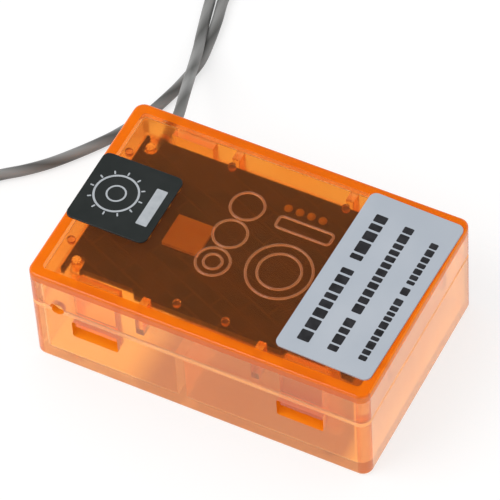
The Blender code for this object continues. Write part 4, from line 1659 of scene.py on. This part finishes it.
        webs, posts = self.furniture()
        base = to_mesh("base_moulding", self.base_shell())
        base = changed(base, Operation.ADD, webs)
        base = changed(base, Operation.ADD, posts)
        base = changed(base, Operation.CUT, [self.well(), *self.windows(), *self.bores()])
        base = changed(base, Operation.CUT, self.keys())
        piece = place_piece("base_moulding", base, plastics[0])
        self.polish(piece, plastics, False)
        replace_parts(piece, "case_base")


@dataclass(frozen=True)
class PrintRow:
    """One row of plain bars on the long label.

    Fields:
        across: Its place across the label, from the label's middle.
        height: The bars' height.
        runs: Where each group of bars starts and ends along the label.
        seed: Chooses the bars' lengths.
        gap: The gap between two bars, for each unit of height.
        stride: About how long a bar with its gap is, for each unit of height.
        uneven: The shortest and longest bar, before they are fitted in.
    """

    across: float
    height: float
    runs: tuple[Place, ...]
    seed: int
    gap: float = 0.2
    stride: float = 0.95
    uneven: Place = (0.6, 1.4)

    def bars(self) -> list[tuple[float, float]]:
        """The start and end of each bar.

        Each group is shared out among bars of uneven length, with even gaps.

        Returns:
            The bars of all groups.
        """
        chance = np.random.default_rng(self.seed)
        gap = self.height * self.gap
        made = []
        for low, high in self.runs:
            count = max(1, round((high - low) / (self.height * self.stride)))
            share = chance.uniform(*self.uneven, count)
            lengths = share / share.sum() * (high - low - gap * (count - 1))
            starts = low + np.concatenate([[0.0], np.cumsum(lengths[:-1] + gap)])
            made += list(zip(starts.tolist(), (starts + lengths).tolist()))
        return made


@dataclass(frozen=True)
class Labels:
    """The silver and black labels and their plain print.

    Fields:
        low: The height of the films' lower side, just over the cover.
        top: The height of their upper side.
        film_round: The rounding of their upper edges.
        corner: The radius of a label's corners, and the least they shrink to.
        ink: How far the print stands over a film.
        sink: How deep it reaches into the film.
        ink_edge: How far a bar's upper face is inset, and how much of the
            print's height is upright.
        ink_corner: The least corner radius of a bar.
        long_size: The silver label's width and length.
        long_centre: Its middle.
        long_turn: Its turn, in degrees.
        rows: Its rows of bars.
        row_corner: The corner radius of those bars.
        square_size: The black label's sides.
        square_centre: Its middle.
        dial_offset: The dial's middle, from the label's.
        dial_rings: Radius, and half of the width, of each of the dial's rings.
        ring_steps: Points round a ring.
        tick_count: How many ticks the dial has.
        tick: A tick's inner and outer radius, and its width.
        tick_corner: The corner radius of a tick.
        bar_offset: The middle of the bar beside the dial, from the label's.
        bar_half: Half of that bar's sides.
        bar_corner: Its corner radius.
    """

    low: float = 15.33
    top: float = 15.55
    film_round: float = 0.06
    corner: Place = (0.9, 0.3)
    ink: float = 0.02
    sink: float = 0.02
    ink_edge: Place = (0.02, 0.7)
    ink_corner: float = 0.04
    long_size: Place = (12.2, 24.9)
    long_centre: Place = (15.4, 0.7)
    long_turn: float = -1.5
    rows: tuple[PrintRow, ...] = (
        PrintRow(-3.3, 1.55, ((-10.6, 0.9), (2.5, 9.6)), 5),
        PrintRow(0.35, 1.25, ((-10.4, -5.4), (-4.4, 9.4)), 8),
        PrintRow(4.05, 1.0, ((-10.1, -0.4), (0.3, 1.4), (2.0, 8.6)), 2),
    )
    row_corner: float = 0.15
    square_size: Place = (10.6, 10.6)
    square_centre: Place = (-16.5, 0.25)
    dial_offset: Place = (-1.15, 0.05)
    dial_rings: tuple[Place, ...] = ((2.7, 0.13), (1.15, 0.11))
    ring_steps: int = 64
    tick_count: int = 12
    tick: tuple[float, float, float] = (2.95, 3.45, 0.2)
    tick_corner: float = 0.08
    bar_offset: Place = (3.65, -0.1)
    bar_half: Place = (0.72, 2.85)
    bar_corner: float = 0.12

    def film(self, size: Place, centre: Place, turn: float) -> Surface:
        """A thin label with a soft upper edge.

        Args:
            size: Its width and length.
            centre: Its middle.
            turn: Its turn, in degrees.

        Returns:
            The label.
        """
        corner, least = self.corner
        levels = [(0.0, self.low), *quarter_round(0.0, self.top, self.film_round, -1, 3)[::-1]]
        rings = rounded_rings((size[0] / 2, size[1] / 2), corner, levels, least)
        return lofted(rings).moved((*centre, 0.0), turn)

    def inked(self, centre: Place, half: Place, corner: float) -> Surface:
        """A thin printed bar that stands just over the film.

        Args:
            centre: Its middle.
            half: Half of its sides.
            corner: Its corner radius.

        Returns:
            The bar.
        """
        inset, upright = self.ink_edge
        levels = [
            (0.0, self.top - self.sink), (0.0, self.top + self.ink * upright), (inset, self.top + self.ink),
        ]
        return lofted(rounded_rings(half, corner, levels, self.ink_corner, 3)).moved((*centre, 0.0))

    def row_print(self) -> Surface:
        """The three rows of bars, along the long label.

        Returns:
            All bars, turned as the label is.
        """
        bars = []
        for row in self.rows:
            for low, high in row.bars():
                half = (row.height / 2, (high - low) / 2)
                bars.append(self.inked((row.across, (low + high) / 2), half, self.row_corner))
        return merged(bars).moved((*self.long_centre, 0.0), self.long_turn)

    def dial_print(self) -> Surface:
        """The plain dial and the bar on the square label.

        Returns:
            The dial's rings and ticks, and the bar.
        """
        low, high = self.top - self.sink, self.top + self.ink
        made = []
        for radius, half in self.dial_rings:
            inside, outside = radius - half, radius + half
            section = [(inside, low), (outside, low), (outside, high), (inside, high)]
            made.append(turned(section, self.dial_offset, self.ring_steps, True))
        inner, outer, width = self.tick
        tick = self.inked(((inner + outer) / 2, 0.0), ((outer - inner) / 2, width / 2), self.tick_corner)
        step = 360.0 / self.tick_count
        made += [tick.moved((*self.dial_offset, 0.0), step * k) for k in range(self.tick_count)]
        made.append(self.inked(self.bar_offset, self.bar_half, self.bar_corner))
        return merged(made).moved((*self.square_centre, 0.0))

    def build(self) -> None:
        """Make both labels and their print."""
        silver = Plain("silver_film", (0.458, 0.505, 0.57), (0.51, 0.552, 0.612), 120.0, (0.35, 0.45))
        black = Plain("black_film", (0.018, 0.023, 0.022), (0.025, 0.03, 0.029), 300.0, (0.35, 0.45))
        dark_ink = Plain("dark_ink", (0.01, 0.01, 0.013), (0.03, 0.03, 0.036), 900.0, (0.45, 0.6))
        pale_ink = Plain("pale_ink", (0.42, 0.45, 0.48), (0.52, 0.55, 0.58), 900.0, (0.45, 0.6))
        film = to_mesh("silver_label", self.film(self.long_size, self.long_centre, self.long_turn))
        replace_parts(place_piece("silver_label", film, silver.material()), "long_label")
        film = to_mesh("black_label", self.film(self.square_size, self.square_centre, 0.0))
        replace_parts(place_piece("black_label", film, black.material()), "square_label")
        bars = to_mesh("silver_label_bars", self.row_print())
        place_piece("silver_label_bars", bars, dark_ink.material())
        dial = to_mesh("black_label_dial", self.dial_print())
        place_piece("black_label_dial", dial, pale_ink.material())


@dataclass(frozen=True)
class BoardDetails:
    """The solder, leads and end caps that join the components to the board.

    Fields:
        board_low: The board's underside.
        board_top: Its upper side.
        pin_columns: X of the header's three rows of contacts.
        pin_ys: Y of the contacts in each row.
        joint: Radius and height of a solder joint's slope.
        joint_sink: How deep it reaches into the board.
        joint_steps: Points round it.
        chips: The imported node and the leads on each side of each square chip.
        gap: The gap between the board and what lies under it.
        lead_half: Half of a chip lead's width.
        lead_pitch: The distance between chip leads.
        lead_ends: Where a lead starts in the body, and where it ends.
        lead_rise: Its lower and upper side, from where it leaves the body.
        lead_shoulder: Where its upper and lower side bend up to the board.
        lead_heel: Where they bend level again.
        lead_foot: The thickness of its foot.
        lead_edge: The rounding of its bends.
        regulator_pitch: The distance between the regulator's leads.
        tab_half: Half of the sides of the regulator's tab.
        tab_out: How far its middle lies outside the body.
        tab_low: How far it reaches down from the board.
        tab_corner: The rounding of its corners.
        cap: How far an end cap wraps over a small component.
        cap_swell: How far it stands over the body.
        cap_edge: The rounding of its edges.
    """

    board_low: float = 12.3
    board_top: float = 13.3
    pin_columns: tuple[float, ...] = (-17.64, -15.1, -12.56)
    pin_ys: tuple[float, ...] = (-2.61, -0.07, 2.47, 5.01)
    joint: tuple[Place, ...] = (
        (0.85, 0.0), (0.83, 0.06), (0.66, 0.14), (0.52, 0.3), (0.46, 0.5), (0.4, 0.54),
    )
    joint_sink: float = 0.02
    joint_steps: int = 24
    chips: tuple[tuple[str, int], ...] = (("main_chip", 8), ("radio_chip", 5))
    gap: float = 0.01
    lead_half: float = 0.14
    lead_pitch: float = 0.65
    lead_ends: Place = (-0.2, 1.0)
    lead_rise: Place = (-0.07, 0.08)
    lead_shoulder: Place = (0.24, 0.34)
    lead_heel: Place = (0.4, 0.5)
    lead_foot: float = 0.15
    lead_edge: float = 0.05
    regulator_pitch: float = 2.3
    tab_half: Place = (1.5, 0.9)
    tab_out: float = 0.5
    tab_low: float = 0.3
    tab_corner: float = 0.2
    cap: float = 0.3
    cap_swell: float = 0.03
    cap_edge: float = 0.06

    def pin_solder(self) -> Surface:
        """A cone of solder round each contact, whose slope eases into the pad.

        Returns:
            All joints.
        """
        low = self.board_top - self.joint_sink
        section = [(radius, low + over) for radius, over in self.joint]
        spots = [(x, y) for x in self.pin_columns for y in self.pin_ys]
        return merged([turned(section, spot, self.joint_steps) for spot in spots])

    def lead(self, middle: float) -> Surface:
        """One bent lead that leaves a body's side along +X and lies under the board.

        Args:
            middle: The height at which it leaves the body.

        Returns:
            The lead, from x 0.
        """
        start, end = self.lead_ends
        low, high = middle + self.lead_rise[0], middle + self.lead_rise[1]
        top = self.board_low - self.gap
        corners = [
            (start, low), (self.lead_shoulder[1], low), (self.lead_heel[1], top - self.lead_foot),
            (end, top - self.lead_foot), (end, top), (self.lead_heel[0], top),
            (self.lead_shoulder[0], high), (start, high),
        ]
        return prism(softened(corners, self.lead_edge, 2), Axis.Y, -self.lead_half, self.lead_half)

    def four_sided(self, node: str, count: int) -> Surface:
        """Rows of leads on the four sides of a chip.

        Args:
            node: The chip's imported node.
            count: Leads on each side.

        Returns:
            The leads.
        """
        low, high = node_box(node)
        centre, half = (low + high) / 2, (high - low) / 2
        lead = self.lead(float(centre[2]))
        made = []
        for turn, reach in ((0.0, half[0]), (90.0, half[1]), (180.0, half[0]), (270.0, half[1])):
            for k in range(count):
                row = lead.moved((float(reach), (k - (count - 1) / 2) * self.lead_pitch, 0.0))
                made.append(row.moved((float(centre[0]), float(centre[1]), 0.0), turn))
        return merged(made)

    def regulator_leads(self) -> Surface:
        """Three leads on one long side and a broad tab on the other.

        Returns:
            The leads and the tab.
        """
        low, high = node_box("regulator")
        centre = (low + high) / 2
        lead, reach = self.lead(float(centre[2])), float(high[1] - centre[1])
        row = [lead.moved((reach, k * self.regulator_pitch, 0.0)) for k in (-1, 0, 1)]
        made = [one.moved((float(centre[0]), float(centre[1]), 0.0), 270.0) for one in row]
        middle = (float(centre[0]), float(high[1]) + self.tab_out)
        tab = softened(rectangle(middle, self.tab_half), self.tab_corner)
        made.append(prism(tab, Axis.Z, self.board_low - self.tab_low, self.board_low - self.gap))
        return merged(made)

    def end_caps(self, node: str) -> list[Surface]:
        """Two caps that wrap the ends of a small component, which lies along X.

        Args:
            node: The component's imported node.

        Returns:
            The caps.
        """
        low, high = node_box(node)
        centre, half = (low + high) / 2, (high - low) / 2
        size = (self.cap / 2 + self.cap_swell, float(half[1]) + self.cap_swell)
        bottom, top = float(low[2]) - self.cap_swell, self.board_low - self.gap
        made = []
        for side in (-1, 1):
            middle = (float(centre[0] + side * (half[0] - self.cap / 2)), float(centre[1]))
            outline = softened(rectangle(middle, size), self.cap_edge, 2)
            made.append(prism(outline, Axis.Z, bottom, top))
        return made

    def build(self, tin: bpy.types.Material, solder: bpy.types.Material) -> None:
        """Make the joints, leads and caps.

        Args:
            tin: The tinned finish of leads and caps.
            solder: The finish of solder.
        """
        joints = to_mesh("pin_solder", self.pin_solder())
        place_piece("pin_solder", joints, solder, smooth_below=50.0)
        capped = [f"chip_part_{k}" for k in range(1, 7)] + ["tantalum_1", "tantalum_2"]
        tinned = {f"{chip}_leads": self.four_sided(chip, count) for chip, count in self.chips}
        tinned["regulator_leads"] = self.regulator_leads()
        tinned["component_caps"] = merged([cap for node in capped for cap in self.end_caps(node)])
        for name, surface in tinned.items():
            place_piece(name, to_mesh(name, surface), tin)


def dress(names: list[str], material: bpy.types.Material) -> None:
    """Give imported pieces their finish.

    Args:
        names: The pieces' names.
        material: The finish.
    """
    for name in names:
        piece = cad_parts[name]
        piece.data.materials.clear()
        piece.data.materials.append(material)


def dress_packed_pieces(tin: bpy.types.Material) -> None:
    """Give the board, header and components their finishes.

    Args:
        tin: The tinned finish.
    """
    resin = Plain("moulded_resin", (0.014, 0.014, 0.015), (0.03, 0.03, 0.032), 900.0, (0.4, 0.6)).material()
    gold = Plain("gold_flash", (0.75, 0.5, 0.2), (0.9, 0.66, 0.3), 900.0, (0.2, 0.35), 1.0).material()
    ceramic = Plain("fired_ceramic", (0.42, 0.35, 0.28), (0.55, 0.47, 0.38), 1500.0, (0.4, 0.55)).material()
    yellow = Plain("moulded_yellow", (0.6, 0.38, 0.08), (0.75, 0.5, 0.12), 900.0, (0.4, 0.5)).material()
    lens = Plain("cast_lens", (0.7, 0.66, 0.56), (0.8, 0.75, 0.65), 900.0, (0.15, 0.25)).material()
    tail = Plain("tail_jacket", (0.14, 0.14, 0.135), (0.2, 0.2, 0.195), 900.0, (0.4, 0.5)).material()
    # Painted light: the tin is coloured orange in place of the orange light that reaches it through the
    # cover.
    can = Plain("shield_tin_painted_orange_light", (1.0, 0.5, 0.2), (1.0, 0.56, 0.24), 700.0, (0.4, 0.5)).material()
    pads = Plain("plated_pads", (0.95, 0.5, 0.06), (1.0, 0.58, 0.1), 900.0, (0.3, 0.45)).material()
    nodes = sorted(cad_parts)
    dress(["circuit_board"], BoardLaminate().material())
    dress(["header_block", "main_chip", "radio_chip", "regulator"], resin)
    dress([name for name in nodes if name.startswith("port_")], gold)
    dress([name for name in nodes if name.startswith("test_point")], pads)
    dress(["crystal", "antenna_joint"], tin)
    dress(["shield_can"], can)
    dress([name for name in nodes if name.startswith("chip_part")], ceramic)
    dress(["tantalum_1", "tantalum_2"], yellow)
    dress(["bind_light"], lens)
    dress(["antenna_tail"], tail)


def main() -> None:
    """Build the scene in its order.

    The camera comes first, then the studio, the lead, the case, the labels, the
    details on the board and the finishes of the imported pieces.
    """
    logging.basicConfig(level=logging.INFO, format="%(name)s: %(message)s")
    StudioCamera().build()
    Studio().build()
    bare = Plain("bare_end", (0.5, 0.48, 0.44), (0.62, 0.6, 0.56), 600.0, (0.35, 0.5)).material()
    AntennaLead().build(LeadJacket().material(), bare)
    CaseShells().build([PLASTICS[look].material() for look in Look])
    Labels().build()
    tin = Plain("bright_tin", (0.6, 0.6, 0.59), (0.78, 0.78, 0.76), 900.0, (0.25, 0.4), 1.0).material()
    solder = Plain("set_solder", (0.5, 0.5, 0.5), (0.66, 0.66, 0.65), 1500.0, (0.3, 0.5), 1.0).material()
    BoardDetails().build(tin, solder)
    dress_packed_pieces(tin)


if __name__ == "__main__":
    main()
